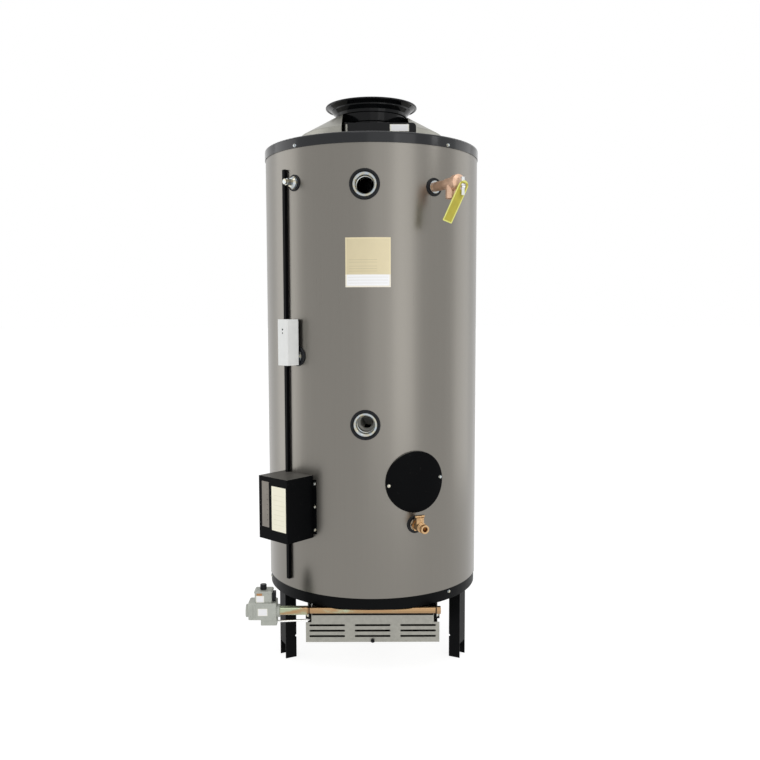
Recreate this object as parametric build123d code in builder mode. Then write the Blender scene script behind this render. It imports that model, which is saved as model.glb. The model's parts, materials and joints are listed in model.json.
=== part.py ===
from build123d import *
from math import cos, radians, sin, sqrt
import os

os.makedirs("parts", exist_ok=True)

# Gas storage water heater on three legs, in millimetres.
# The tank's axis is Z, the floor is z = 0 and the front faces -Y.
# Angles go round the tank from its front and are positive towards +X.

# Fits
sheet_gap = 0.3
hole_gap = 0.5
run_gap = 0.05
swing_gap = 0.3

# Jacket and lid
jacket_radius = 352.5
jacket_wall = 1.0
jacket_height = 1409.0
lid_wall = 2.0
lid_skirt = 33.0
lid_edge = 7.0
lid_ledge = 14.0
lid_screw_angles = (-139, -41, 41, 139)
lid_screw_drop = 26.0

# Tank, flues and anodes
foam_wall = 53.5
tank_wall = 5.0
fire_room = 209.0
lid_room = 114.0
head_rise = 55.0
flue_count = 6
flue_circle = 160.0
flue_radius = 44.5
flue_wall = 3.0
flue_stand = 40.0
baffle_width = 40.0
baffle_swing = 16.0
baffle_wall = 1.5
baffle_bends = 10
baffle_bar = 8.0
anode_radius = 10.5
anode_length = 900.0
anode_inset = 48.0
anode_head = 16.0
anode_angles = (75, 255)

# Water ports: angles, drops below the lid's top, rises above the jacket's lower edge, and fittings
main_port_angle = -3.3
hot_drop = 154.0
cold_rise = 538.5
spud_radius = 35.5
spud_bore = 27.8
spud_mouth = 2.5
spud_proud = 1.0
trim_radius = 46.0
trim_height = 6.0
trim_side = 2.7
trim_bevel = 2.5
trim_crest = 3.5
coupling_radius = 19.0
coupling_bore = 13.0
coupling_proud = 6.0
coupling_reach = 8.0
small_trim_height = 4.5
small_trim_side = 2.3
small_trim_bevel = 2.0
plug_angle = -42.0
plug_drop = 137.0
plug_trim = 25.0
well_angle = -40.5
well_rise = 743.0
well_trim = 31.0
relief_angle = 32.4
relief_drop = 156.0
relief_trim = 27.5
drain_angle = 22.0
drain_rise = 227.0
drain_trim = 27.5
shank_depth = 14.0
diffuser_radius = 22.0
diffuser_wall = 2.0
diffuser_length = 130.0
diffuser_flange = 33.0
diffuser_slot_width = 20.0
diffuser_slot_length = 78.0

# Plug in the spare port
bushing_radius = 18.0
bushing_height = 10.0
bushing_collar = 4.0
plug_bore = 9.5
plug_hex = 11.0
plug_hex_height = 17.0
plug_nose = 8.0
plug_nose_height = 8.0

# Cleanout
cleanout_angle = 22.0
cleanout_rise = 360.0
cleanout_radius = 95.0
cleanout_dish = 7.0
cleanout_wall = 1.2
cleanout_opening = 80.0
cleanout_screw_circle = 86.0
cleanout_screw_turn = 5.0
handhole_bore = 50.0
handhole_radius = 70.0
handhole_stand = 24.0
handhole_plate_wall = 9.0
gasket_wall = 3.0
handhole_bolt_count = 6
handhole_bolt_inset = 10.0

# Draft hood, flue collector and hood plate
vent_radius = 102.5
vent_length = 68.0
hood_wall = 1.5
hood_tuck = 27.0
hood_tuck_step = 8.0
hood_lap = 2.0
hood_side = 10.0
hood_side_flare = 1.0
hood_step = 12.0
hood_step_rise = 11.0
hood_band = 4.0
hood_height = 38.0
hood_rim_reach = 21.0
hood_rim_roll = 3.5
collector_radius = 236.0
collector_height = 111.0
collector_skirt = 44.0
collector_mouth = 117.0
collector_flange = 10.0
collector_wall = 1.2
window_left = -92.0
window_right = 118.0
window_sill_rise = 20.0
hood_plate_gap = 4.0
hood_plate_left = -80.0
hood_plate_right = 137.0
hood_plate_height = 45.0
hood_plate_wall = 2.0
hood_plate_lip = 13.0
hood_plate_corner = 12.0

# Base ring, pan and legs
base_bottom = 229.0
base_height = 36.0
base_step = 2.5
base_wall = 1.5
base_ledge = 2.5
base_upstand = 20.0
pan_wall = 2.0
pan_rim = 30.0
pan_ledge = 15.0
pan_ledge_front = 22.0
pan_ledge_back = 10.0
skirt_ledge = 10.0
base_screw_angles = (-76, 44, 164)
base_screw_rise = 25.0
leg_angles = {"left_leg": -63, "right_leg": 63, "rear_leg": 180}
leg_inset = 15.0
leg_width = 50.0
leg_depth = 38.0
leg_wall = 3.0
foot_height = 48.0
leg_notch_height = 72.0
leg_notch = 4.0
leg_bolt_spread = 22.0

# Burner tray, burners and gas pipe
tray_half_width = 205.0
tray_front_inset = 66.0
tray_back_inset = 160.0
tray_depth = 123.5
tray_wall = 1.2
tray_flange = 12.0
tray_flange_inset = 44.0
burner_count = 5
burner_pitch = 76.0
burner_radius = 17.0
burner_throat = 13.0
burner_mouth = 22.0
burner_mouth_length = 24.0
burner_throat_length = 22.0
burner_taper = 14.0
burner_wall = 1.2
burner_front_gap = 56.0
burner_back_gap = 25.0
burner_ports = 8
burner_port_width = 3.0
rest_wall = 2.0
rest_depth = 22.0
rest_places = (-150.0, 120.0)
manifold_stand = 30.0
manifold_gap = 0.7
manifold_radius = 10.3
manifold_bore = 7.8
manifold_left = -220.0
manifold_right = 199.0
nipple_radius = 14.0
nipple_lap = 18.0
end_plug_radius = 12.5
end_plug_length = 13.0
orifice_radius = 5.0
orifice_length = 12.0
orifice_bore = 1.4

# Burner door and its brackets
door_gap = 6.0
door_overlap = 6.0
door_lip = 2.0
door_drop = 38.5
door_wall = 1.2
notch_width = 18.0
notch_drop = 11.5
door_ear_depth = 17.0
door_ear_half = 11.0
slot_width = 112.5
slot_height = 6.3
slot_pitch_x = 143.5
slot_pitch_z = 17.6
slot_rise = 37.0
latch_radius = 6.0
latch_depth = 12.0
latch_rise = 5.5
latch_grip = 3.0
hinge_inset = 9.0
hinge_drop = 39.0
hinge_radius = 2.5
bracket_wall = 2.5
bracket_inset = 15.0
bracket_drop = 10.0
bracket_tab = 15.0
bracket_arm = 15.0
bracket_heel = 8.0

# Gas valve and pilot
valve_left = -384.0
valve_right = -297.0
valve_depth = 56.0
valve_drop = 21.0
valve_rise = 32.0
valve_corner = 6.0
valve_edge = 2.0
valve_rib_count = 2
valve_rib_start = 10.4
valve_rib_pitch = 8.7
valve_rib_width = 3.5
valve_rib_height = 2.0
valve_rib_margin = 6.0
head_left = -364.0
head_right = -311.0
head_depth = 46.0
head_height = 36.0
head_corner = 4.0
head_cap_drop = 6.0
head_cap_height = 4.0
head_cap_lip = 2.0
sump_left = -346.0
sump_height = 20.0
sump_depth = 40.0
boss_radius = 20.0
boss_length = 9.0
gas_inlet_radius = 12.0
gas_inlet_depth = 18.0
knob_place = -339.0
knob_radius = 10.0
knob_height = 16.0
knob_edge = 1.5
knob_flutes = 10
knob_flute = 1.2
spindle_radius = 3.0
spindle_height = 9.0
plug_socket_width = 10.0
plug_socket_height = 28.0
plug_socket_depth = 24.0
plug_socket_edge = 2.0
pilot_radius = 3.2
pilot_bend = 14.0
pilot_rise = 6.0
pilot_offset = 2.0
pilot_lead = 17.0
pilot_notch_rise = 7.6
pilot_wall_gap = 8.0
pilot_inset = 52.0
pilot_climb = 26.0
pilot_hood_radius = 6.0
pilot_hood_length = 24.0
pilot_slot = 6.0

# Relief valve: lengths along its axis, outwards from the jacket
relief_neck = 14.0
relief_stand = 66.0
relief_flare = 7.0
relief_body_radius = 17.0
relief_body_length = 37.0
relief_bore = 8.0
relief_seat_depth = 3.0
relief_chamber = 14.0
outlet_inset = 17.0
outlet_radius = 16.0
outlet_bore = 12.2
outlet_depth = 27.0
outlet_port = 9.0
outlet_length = 44.0
bonnet_radius = 22.5
bonnet_nose = 15.0
bonnet_thread = 6.0
bonnet_room = 17.0
bonnet_roof_wall = 6.0
spring_room = 11.0
stem_radius = 3.0
disc_radius = 10.0
disc_height = 4.0
lever_pin_rise = 8.0
lever_pin_radius = 1.5
lever_lift = 4.0
lever_swing = 80.0
lever_wall = 2.0
lever_cheek_gap = 3.3
lever_drop = 40.0
lever_offset = 3.5
eye_radius = 3.6
tag_drop = 16.0
tag_width = 36.0
tag_length = 109.0
tag_hole = 11.0
tag_wall = 1.0
tag_lean = 22.0
tag_tilt = 14.0
tag_corner = 3.0
probe_radius = 4.0
probe_length = 86.0

# Drain valve: lengths along its axis, outwards from the coupling
drain_hex = 19.0
drain_hex_length = 10.0
drain_shoulder = 3.0
drain_barrel = 15.0
drain_barrel_length = 34.0
drain_bore = 8.0
hose_radius = 13.2
hose_shoulder = 2.0
hose_length = 21.0
cock_radius = 10.0
cock_hole = 7.0
cock_floor = 12.0
cock_boss = 13.0
cock_top = 24.0
gland_height = 5.0
drain_stem_radius = 4.0
drain_handle_length = 32.0
drain_handle_width = 10.0
drain_handle_hub = 7.5
drain_handle_wall = 6.0

# Aquastat: its drop below the well, and depths outwards from its back
aquastat_angle = -42.0
aquastat_drop = 27.0
aquastat_height = 141.0
aquastat_width = 44.0
aquastat_gap = 2.0
aquastat_depth = 47.0
aquastat_plate = 1.5
aquastat_wall = 1.2
aquastat_edge = 2.5
dial_rise = 99.0
dial_radius = 15.0
dial_wall = 2.5
dial_gap = 1.3
dial_notches = 16
dial_notch = 0.9
window_offset = 11.0
window_width = 6.0
window_height = 5.0
window_corner = 1.0
screw_hole_radius = 2.6
switch_width = 34.0
switch_depth = 26.0
switch_rise = 45.0
switch_height = 78.0
well_radius = 8.0
well_depth = 74.0

# Control box and wire raceway
control_angle = -42.0
control_rise = 178.0
control_height = 197.0
control_width = 129.0
control_front = 102.0
control_wall = 1.5
control_edge = 2.0
control_flange = 13.0
module_back = 17.0
module_width = 84.0
module_height = 130.0
module_depth = 45.0
module_corner = 3.0
raceway_angle = -48.5
raceway_width = 13.0
raceway_height = 10.0
raceway_wall = 1.5
raceway_rise = 28.0
raceway_drop = 93.0

# Screws
screw_head = 4.5
screw_washer = 5.5
screw_washer_wall = 1.0
screw_head_height = 4.0
bolt_head = 7.0
bolt_head_height = 5.0
bolt_shank = 4.0


# Heights and reaches worked out from the sizes above
jacket_bottom = base_bottom + base_height
lid_top = jacket_bottom + jacket_height
lid_inner = jacket_radius + sheet_gap
lid_outer = lid_inner + lid_wall
lid_hole = collector_radius - lid_ledge
lid_screw_height = lid_top - lid_screw_drop
jacket_top = lid_top - lid_wall - lid_edge
pan_top = base_bottom + pan_wall
tank_radius = jacket_radius - jacket_wall - foam_wall
tank_floor = pan_top + fire_room
tank_shoulder = lid_top - lid_room
tank_crown = tank_shoulder + head_rise
flue_top = tank_crown + flue_stand
flue_bottom = tank_floor - tank_wall
flue_step = 360 / flue_count
anode_circle = tank_radius - anode_inset
handhole_face = tank_radius + handhole_stand
handhole_bolt_circle = handhole_radius - handhole_bolt_inset

# Ports
hot_height = lid_top - hot_drop
cold_height = jacket_bottom + cold_rise
plug_height = lid_top - plug_drop
relief_height = lid_top - relief_drop
well_height = jacket_bottom + well_rise
drain_height = jacket_bottom + drain_rise
cleanout_height = jacket_bottom + cleanout_rise
coupling_inner = tank_radius - tank_wall - coupling_reach
spud_hole = spud_radius + hole_gap
coupling_hole = coupling_radius + hole_gap
main_ports = [(main_port_angle, hot_height), (main_port_angle, cold_height)]
small_ports = [
    (plug_angle, plug_height, plug_trim),
    (well_angle, well_height, well_trim),
    (relief_angle, relief_height, relief_trim),
    (drain_angle, drain_height, drain_trim),
]

# Hood
hood_seat = lid_top + collector_height
hood_bottom = hood_seat - hood_tuck
hood_skirt = hood_bottom - vent_length
hood_top = hood_seat + hood_height
hood_neck = collector_mouth + hood_lap
hood_bowl = hood_neck + hood_step
hood_rim_radius = hood_bowl + hood_rim_reach
collector_shoulder = lid_top + collector_skirt
window_sill = lid_top + window_sill_rise
hood_plate_reach = collector_radius + collector_flange + hood_plate_gap
hood_plate_top = lid_top + hood_plate_height

# Base, burners and door
base_radius = jacket_radius - base_step
base_inner = base_radius - base_wall
base_screw_height = base_bottom + base_screw_rise
leg_reach = base_radius - leg_inset
tray_front = tray_front_inset - base_radius
tray_back = base_radius - tray_back_inset
tray_floor = base_bottom - tray_depth
burner_front = tray_front + burner_front_gap
burner_back = tray_back - burner_back_gap
door_plane = tray_front - door_gap
door_half_width = tray_half_width + door_overlap
door_bottom = tray_floor - door_lip
door_top = base_bottom - door_drop
hinge_depth = door_plane + hinge_inset
hinge_height = base_bottom - hinge_drop
bracket_inner = door_half_width - bracket_inset
bracket_bottom = hinge_height - bracket_drop
bracket_back = hinge_depth + bracket_heel
notch_bottom = bracket_bottom - notch_drop
manifold_depth = door_plane - manifold_stand
manifold_height = base_bottom - manifold_radius - manifold_gap
nipple_end = manifold_left + nipple_lap
rest_top = manifold_height - burner_radius
burner_places = [(i - (burner_count - 1) / 2) * burner_pitch for i in range(burner_count)]

# Gas valve and pilot
valve_bottom = manifold_height - valve_drop
valve_top = manifold_height + valve_rise
head_top = valve_top + head_height
sump_bottom = valve_bottom - sump_height
pilot_depth = manifold_depth + pilot_offset
pilot_low = notch_bottom + pilot_notch_rise
pilot_side = pilot_wall_gap - tray_half_width

# Relief and drain valves
relief_body_start = relief_stand
relief_body_end = relief_body_start + relief_body_length
relief_seat = relief_body_start + relief_seat_depth
outlet_place = relief_body_start + outlet_inset
bonnet_roof = relief_body_end + bonnet_room
bonnet_cap = bonnet_roof + bonnet_roof_wall
lever_pin_place = bonnet_cap + lever_pin_rise
drain_hex_end = coupling_proud + drain_hex_length
drain_barrel_end = drain_hex_end + drain_barrel_length
drain_end = drain_barrel_end + hose_length
cock_place = (drain_hex_end + drain_barrel_end) / 2

# Aquastat, control box and raceway
aquastat_back = coupling_proud + aquastat_gap
aquastat_front = aquastat_back + aquastat_depth
aquastat_bottom = well_height - aquastat_drop
aquastat_top = aquastat_bottom + aquastat_height
dial_height = aquastat_bottom + dial_rise
switch_front = aquastat_back + switch_depth
switch_bottom = aquastat_bottom + switch_rise
switch_top = switch_bottom + switch_height
control_bottom = jacket_bottom + control_rise
control_top = control_bottom + control_height
raceway_bottom = jacket_bottom + raceway_rise
raceway_top = lid_top - raceway_drop


def around(angle, radius):
    """A point on a circle round the tank."""
    return radius * sin(radians(angle)), -radius * cos(radians(angle))


def port(angle, height, reach=jacket_radius):
    """A plane on the heater's side: x to the right seen from outside, y up, z outwards."""
    x, y = around(angle, 1)
    return Plane(origin=(reach * x, reach * y, height), x_dir=(-y, x, 0), z_dir=(x, y, 0))


def lengthwise(plane):
    """The plane through a port's own axis: x across it, y along it."""
    return Plane(origin=plane.origin, x_dir=plane.x_dir, z_dir=-plane.y_dir)


def upright(plane):
    """The upright plane through a port's axis: x along it outwards, y up."""
    return Plane(origin=plane.origin, x_dir=plane.z_dir, z_dir=-plane.x_dir)


def level(angle, height):
    """A level plane with its origin on the tank's axis and y outwards at this angle."""
    x, y = around(angle, 1)
    return Plane(origin=(0, 0, height), x_dir=(y, -x, 0), z_dir=(0, 0, 1))


def front(depth):
    """An upright plane that faces the front: x to the right, y up."""
    return Plane(origin=(0, depth, 0), x_dir=(1, 0, 0), z_dir=(0, -1, 0))


def side(place):
    """An upright plane square to X: x to the rear, y up."""
    return Plane(origin=(place, 0, 0), x_dir=(0, 1, 0), z_dir=(1, 0, 0))


def axis_of(plane):
    """The line through a plane's origin, square to it."""
    return Axis(plane.origin, plane.z_dir)


def face(plane, *points):
    """A face with straight sides on a plane."""
    with BuildSketch(plane) as section:
        with BuildLine():
            Polyline(*points, close=True)
        make_face()
    return section.sketch


def sheet(plane, wall, bend, *points):
    """The section of a bent sheet: the points are its outer side, and the wall is on their left."""
    with BuildSketch(plane) as section:
        with BuildLine():
            FilletPolyline(*points, radius=bend)
            offset(amount=wall, side=Side.LEFT)
        make_face()
    return section.sketch


def disc(plane, radius, bore=0):
    """A round face, or a ring, on a plane."""
    with BuildSketch(plane) as section:
        Circle(radius)
        if bore:
            Circle(bore, mode=Mode.SUBTRACT)
    return section.sketch


def hexagon(plane, radius):
    """A six-sided face on a plane."""
    with BuildSketch(plane) as section:
        RegularPolygon(radius, 6)
    return section.sketch


def block(plane, left, right, bottom, top):
    """A rectangular face on a plane, by its sides."""
    with BuildSketch(plane) as section:
        with Locations(((left + right) / 2, (bottom + top) / 2)):
            Rectangle(right - left, top - bottom)
    return section.sketch


def dome(radius, base, rise):
    """Half of a dished head's curve, from its rim to its middle."""
    bend = (radius**2 + rise**2) / (2 * rise)
    half = radius / 2
    drop = bend - sqrt(bend**2 - half**2)
    return ThreePointArc((radius, base), (half, base + rise - drop), (0, base + rise))


def dome_height(distance):
    """The top head's outer height at a distance from the tank's axis."""
    bend = (tank_radius**2 + head_rise**2) / (2 * head_rise)
    return tank_crown - bend + sqrt(bend**2 - distance**2)


def save(piece, name):
    """Name a finished piece and write its file."""
    piece.part.label = name
    export_step(piece.part, f"parts/{name}.step")


flue_spots = [(0, 0)] + [around(flue_step * (i + 0.5), flue_circle) for i in range(flue_count)]
anode_spots = [around(angle, anode_circle) for angle in anode_angles]


# Jacket: a rolled sheet with a hole for each fitting
with BuildPart() as jacket:
    extrude(disc(Plane.XY.offset(jacket_bottom), jacket_radius, jacket_radius - jacket_wall),
            amount=jacket_top - jacket_bottom)
    for angle, height in main_ports:
        extrude(disc(port(angle, height, 0), spud_hole), amount=lid_outer, mode=Mode.SUBTRACT)
    for angle, height, trim in small_ports:
        extrude(disc(port(angle, height, 0), coupling_hole), amount=lid_outer, mode=Mode.SUBTRACT)
    extrude(disc(port(cleanout_angle, cleanout_height, 0), cleanout_opening),
            amount=lid_outer, mode=Mode.SUBTRACT)
save(jacket, "jacket")

# Lid: a pan turned upside down over the jacket, open in the middle for the flues
with BuildPart() as jacket_lid:
    revolve(sheet(Plane.XZ, lid_wall, lid_edge, (lid_outer, lid_top - lid_skirt), (lid_outer, lid_top),
                  (lid_hole, lid_top)), axis=Axis.Z)
save(jacket_lid, "jacket_lid")

# Insulation between the tank and the jacket
with BuildPart() as insulation:
    foam_radius = jacket_radius - jacket_wall
    foam_bottom = jacket_bottom + base_upstand + sheet_gap
    foam_top = lid_top - lid_wall - lid_edge
    extrude(disc(Plane.XY.offset(foam_bottom), foam_radius), amount=foam_top - foam_bottom)
    with BuildSketch(Plane.XZ) as hollow:
        with BuildLine():
            dome(tank_radius, tank_shoulder, head_rise)
            Polyline((0, tank_crown), (0, foam_bottom), (tank_radius, foam_bottom),
                     (tank_radius, tank_shoulder))
        make_face()
    revolve(axis=Axis.Z, mode=Mode.SUBTRACT)
    extrude(disc(Plane.XY.offset(tank_shoulder), lid_hole), amount=lid_top, mode=Mode.SUBTRACT)
    with BuildSketch(Plane.XY.offset(tank_shoulder)):
        with Locations(*anode_spots):
            Circle(anode_head + hole_gap)
    extrude(amount=lid_top, mode=Mode.SUBTRACT)
    for angle, height in main_ports:
        extrude(disc(port(angle, height, 0), spud_hole), amount=lid_outer, mode=Mode.SUBTRACT)
    for angle, height, trim in small_ports:
        extrude(disc(port(angle, height, 0), coupling_hole), amount=lid_outer, mode=Mode.SUBTRACT)
    extrude(disc(port(cleanout_angle, cleanout_height, 0), cleanout_opening),
            amount=lid_outer, mode=Mode.SUBTRACT)
save(insulation, "insulation")

# Tank: a shell with two dished heads; its skirt stands on the base pan round the fire
with BuildPart() as tank_shell:
    extrude(disc(Plane.XY.offset(pan_top), tank_radius, tank_radius - tank_wall),
            amount=tank_shoulder - pan_top)
    for base in (tank_floor, tank_shoulder):
        with BuildSketch(Plane.XZ):
            with BuildLine():
                dome(tank_radius, base, head_rise)
                Line((0, base + head_rise), (0, base + head_rise - tank_wall))
                dome(tank_radius, base - tank_wall, head_rise)
                Line((tank_radius, base - tank_wall), (tank_radius, base))
            make_face()
        revolve(axis=Axis.Z)
    with BuildSketch(Plane.XY.offset(flue_bottom)):
        with Locations(*flue_spots):
            Circle(flue_radius)
    extrude(amount=flue_top, mode=Mode.SUBTRACT)
    with BuildSketch(Plane.XY.offset(tank_shoulder)):
        with Locations(*anode_spots):
            Circle(anode_radius)
    extrude(amount=flue_top, mode=Mode.SUBTRACT)
    for angle, height in main_ports:
        extrude(disc(port(angle, height, tank_radius / 2), spud_radius),
                amount=tank_radius, mode=Mode.SUBTRACT)
    for angle, height, trim in small_ports:
        extrude(disc(port(angle, height, tank_radius / 2), coupling_radius),
                amount=tank_radius, mode=Mode.SUBTRACT)
    extrude(disc(port(cleanout_angle, cleanout_height, tank_radius / 2), handhole_radius),
            amount=tank_radius, mode=Mode.SUBTRACT)
save(tank_shell, "tank_shell")

with BuildPart() as flue_tubes:
    with BuildSketch(Plane.XY.offset(flue_bottom)):
        with Locations(*flue_spots):
            Circle(flue_radius)
            Circle(flue_radius - flue_wall, mode=Mode.SUBTRACT)
    extrude(amount=flue_top - flue_bottom)
save(flue_tubes, "flue_tubes")

# Baffles: a folded strip hangs in each flue from a bar across its top
with BuildPart() as flue_baffles:
    fold = (flue_top - flue_bottom) / (baffle_bends + 1)
    for x, y in flue_spots:
        swings = [baffle_swing * (-1) ** i for i in range(1, baffle_bends)]
        edge = [(x, flue_top + baffle_bar / 2)]
        edge += [(x + swing, flue_top - fold * (i + 1)) for i, swing in enumerate(swings)]
        edge += [(x, flue_bottom + fold)]
        other = [(across + baffle_wall, height) for across, height in reversed(edge)]
        extrude(face(front(y + baffle_width / 2), *edge, *other), amount=baffle_width)
        bar = Plane.XY.offset(flue_top)
        extrude(block(bar, x - flue_radius, x + flue_radius, y - baffle_wall, y + baffle_wall),
                amount=baffle_bar)
save(flue_baffles, "flue_baffles")

with BuildPart() as anode_rods:
    seat = dome_height(anode_circle - anode_head)
    for spot in anode_spots:
        place = Plane(origin=(*spot, seat))
        extrude(hexagon(place, anode_head), amount=anode_head)
        extrude(disc(place, anode_radius), amount=-anode_length)
save(anode_rods, "anode_rods")

# Spuds and couplings welded in the tank, each with a moulded trim ring on the jacket
with BuildPart() as water_spuds:
    for angle, height in main_ports:
        spot = port(angle, height)
        inner = coupling_inner - jacket_radius
        revolve(face(lengthwise(spot), (spud_bore, inner), (spud_radius, inner), (spud_radius, spud_proud),
                     (spud_bore + spud_mouth, spud_proud), (spud_bore, spud_proud - spud_mouth)),
                axis=axis_of(spot))
    for angle, height, trim in small_ports:
        spot = port(angle, height, coupling_inner)
        extrude(disc(spot, coupling_radius, coupling_bore),
                amount=jacket_radius + coupling_proud - coupling_inner)
save(water_spuds, "water_spuds")

with BuildPart() as trim_rings:
    for angle, height in main_ports:
        spot = port(angle, height)
        crest = trim_radius - trim_bevel
        revolve(face(lengthwise(spot), (spud_hole, -trim_height), (trim_radius, -trim_height),
                     (trim_radius, trim_side), (crest, trim_height), (crest - trim_crest, trim_height),
                     (spud_hole, spud_proud)),
                axis=axis_of(spot))
    for angle, height, trim in small_ports:
        spot = port(angle, height)
        revolve(face(lengthwise(spot), (coupling_hole, -small_trim_height), (trim, -small_trim_height),
                     (trim, small_trim_side), (trim - small_trim_bevel, small_trim_height),
                     (coupling_hole, small_trim_height)),
                axis=axis_of(spot))
    Cylinder(jacket_radius, lid_top, align=(Align.CENTER, Align.CENTER, Align.MIN), mode=Mode.SUBTRACT)
save(trim_rings, "trim_rings")

with BuildPart() as inlet_diffuser:
    spot = port(main_port_angle, cold_height, coupling_inner)
    wall = diffuser_radius - diffuser_wall
    revolve(face(lengthwise(spot), (wall, 0), (diffuser_flange, 0), (diffuser_flange, -diffuser_wall),
                 (diffuser_radius, -diffuser_wall), (diffuser_radius, -diffuser_length),
                 (0, -diffuser_length), (0, diffuser_wall - diffuser_length),
                 (wall, diffuser_wall - diffuser_length)),
            axis=axis_of(spot))
    slots = port(main_port_angle, cold_height, coupling_inner - diffuser_length / 2)
    with BuildSketch(Plane(slots.origin, slots.x_dir, (0, 0, 1))):
        Rectangle(diffuser_slot_width, diffuser_slot_length)
    extrude(amount=-diffuser_flange, mode=Mode.SUBTRACT)
save(inlet_diffuser, "inlet_diffuser")

# Plug and bushing in the spare port
plug_spot = port(plug_angle, plug_height)
bushing_top = coupling_proud + bushing_height
with BuildPart() as plug_bushing:
    revolve(face(lengthwise(plug_spot), (plug_bore, -shank_depth), (coupling_bore, -shank_depth),
                 (coupling_bore, coupling_proud), (bushing_radius, coupling_proud),
                 (bushing_radius, coupling_proud + bushing_collar), (coupling_bore, bushing_top),
                 (plug_bore, bushing_top)),
            axis=axis_of(plug_spot))
save(plug_bushing, "plug_bushing")

with BuildPart() as pipe_plug:
    extrude(disc(plug_spot.offset(-shank_depth), plug_bore), amount=shank_depth + bushing_top)
    extrude(hexagon(plug_spot.offset(bushing_top), plug_hex), amount=plug_hex_height)
    extrude(disc(plug_spot.offset(bushing_top + plug_hex_height), plug_nose), amount=plug_nose_height)
save(pipe_plug, "pipe_plug")

# Cleanout: a flanged handhole on the tank under a dished cover on the jacket
handhole_spot = port(cleanout_angle, cleanout_height, handhole_face)
with BuildPart() as handhole_flange:
    inner = coupling_inner - handhole_face
    extrude(disc(handhole_spot, handhole_radius, handhole_bore), amount=inner)
    with BuildSketch(handhole_spot):
        with PolarLocations(handhole_bolt_circle, handhole_bolt_count):
            Circle(bolt_shank)
    extrude(amount=inner / 2, mode=Mode.SUBTRACT)
save(handhole_flange, "handhole_flange")

with BuildPart() as handhole_gasket:
    extrude(disc(handhole_spot, handhole_radius, handhole_bore), amount=gasket_wall)
    with BuildSketch(handhole_spot):
        with PolarLocations(handhole_bolt_circle, handhole_bolt_count):
            Circle(bolt_shank)
    extrude(amount=gasket_wall, mode=Mode.SUBTRACT)
save(handhole_gasket, "handhole_gasket")

with BuildPart() as handhole_plate:
    plate_spot = handhole_spot.offset(gasket_wall)
    extrude(disc(plate_spot, handhole_radius), amount=handhole_plate_wall)
    with BuildSketch(plate_spot):
        with PolarLocations(handhole_bolt_circle, handhole_bolt_count):
            Circle(bolt_shank)
    extrude(amount=handhole_plate_wall, mode=Mode.SUBTRACT)
save(handhole_plate, "handhole_plate")

with BuildPart() as handhole_bolts:
    bolt_seat = handhole_spot.offset(gasket_wall + handhole_plate_wall)
    with BuildSketch(bolt_seat):
        with PolarLocations(handhole_bolt_circle, handhole_bolt_count):
            RegularPolygon(bolt_head, 6)
    extrude(amount=bolt_head_height)
    with BuildSketch(bolt_seat):
        with PolarLocations(handhole_bolt_circle, handhole_bolt_count):
            Circle(bolt_shank)
    extrude(amount=(coupling_inner - handhole_face) / 2 - gasket_wall - handhole_plate_wall)
save(handhole_bolts, "handhole_bolts")

with BuildPart() as cleanout_cover:
    low = cleanout_height - cleanout_radius
    tall = 2 * cleanout_radius
    extrude(disc(port(cleanout_angle, cleanout_height, 0), cleanout_radius), amount=2 * jacket_radius)
    extrude(disc(Plane.XY.offset(low), jacket_radius + cleanout_dish), amount=tall, mode=Mode.INTERSECT)
    extrude(disc(Plane.XY.offset(low), jacket_radius), amount=tall, mode=Mode.SUBTRACT)
    with BuildPart(mode=Mode.PRIVATE) as dish_room:
        extrude(disc(port(cleanout_angle, cleanout_height, 0), cleanout_radius - cleanout_wall),
                amount=2 * jacket_radius)
        extrude(disc(Plane.XY.offset(low), jacket_radius + cleanout_dish - cleanout_wall),
                amount=tall, mode=Mode.INTERSECT)
    add(dish_room.part, mode=Mode.SUBTRACT)
save(cleanout_cover, "cleanout_cover")

# Flue collector: a cone with a draught window at the front
with BuildPart() as flue_collector:
    run = (collector_radius - collector_mouth) / (hood_seat - collector_shoulder)
    overrun = hood_seat + collector_flange
    tip = collector_mouth - run * collector_flange
    revolve(sheet(Plane.XZ, collector_wall, collector_wall, (tip, overrun),
                  (collector_radius, collector_shoulder), (collector_radius, lid_top),
                  (collector_radius + collector_flange, lid_top)),
            axis=Axis.Z)
    extrude(disc(Plane.XY.offset(hood_seat), collector_radius), amount=hood_top, mode=Mode.SUBTRACT)
    extrude(block(front(0), window_left, window_right, window_sill, hood_top),
            amount=2 * collector_radius, mode=Mode.SUBTRACT)
save(flue_collector, "flue_collector")

# Draft hood: a spun bowl with a stepped wall and a rolled rim, seated on the collector's mouth
with BuildPart() as draft_hood:
    throat = vent_radius + hood_wall
    step = hood_seat + hood_side
    band = step + hood_step_rise
    roll = hood_top - hood_rim_roll
    revolve(sheet(Plane.XZ, hood_wall, hood_wall, (throat, hood_skirt), (throat, hood_bottom),
                  (collector_mouth - hood_tuck_step, hood_bottom),
                  (collector_mouth - 2 * collector_wall, hood_seat), (hood_neck, hood_seat),
                  (hood_neck + hood_side_flare, step), (hood_bowl, band), (hood_bowl, band + hood_band),
                  (hood_rim_radius - hood_rim_roll, roll)),
            axis=Axis.Z)
    with BuildSketch(Plane.XZ):
        with Locations((hood_rim_radius - hood_rim_roll, roll)):
            Circle(hood_rim_roll)
    revolve(axis=Axis.Z)
save(draft_hood, "draft_hood")

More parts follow.
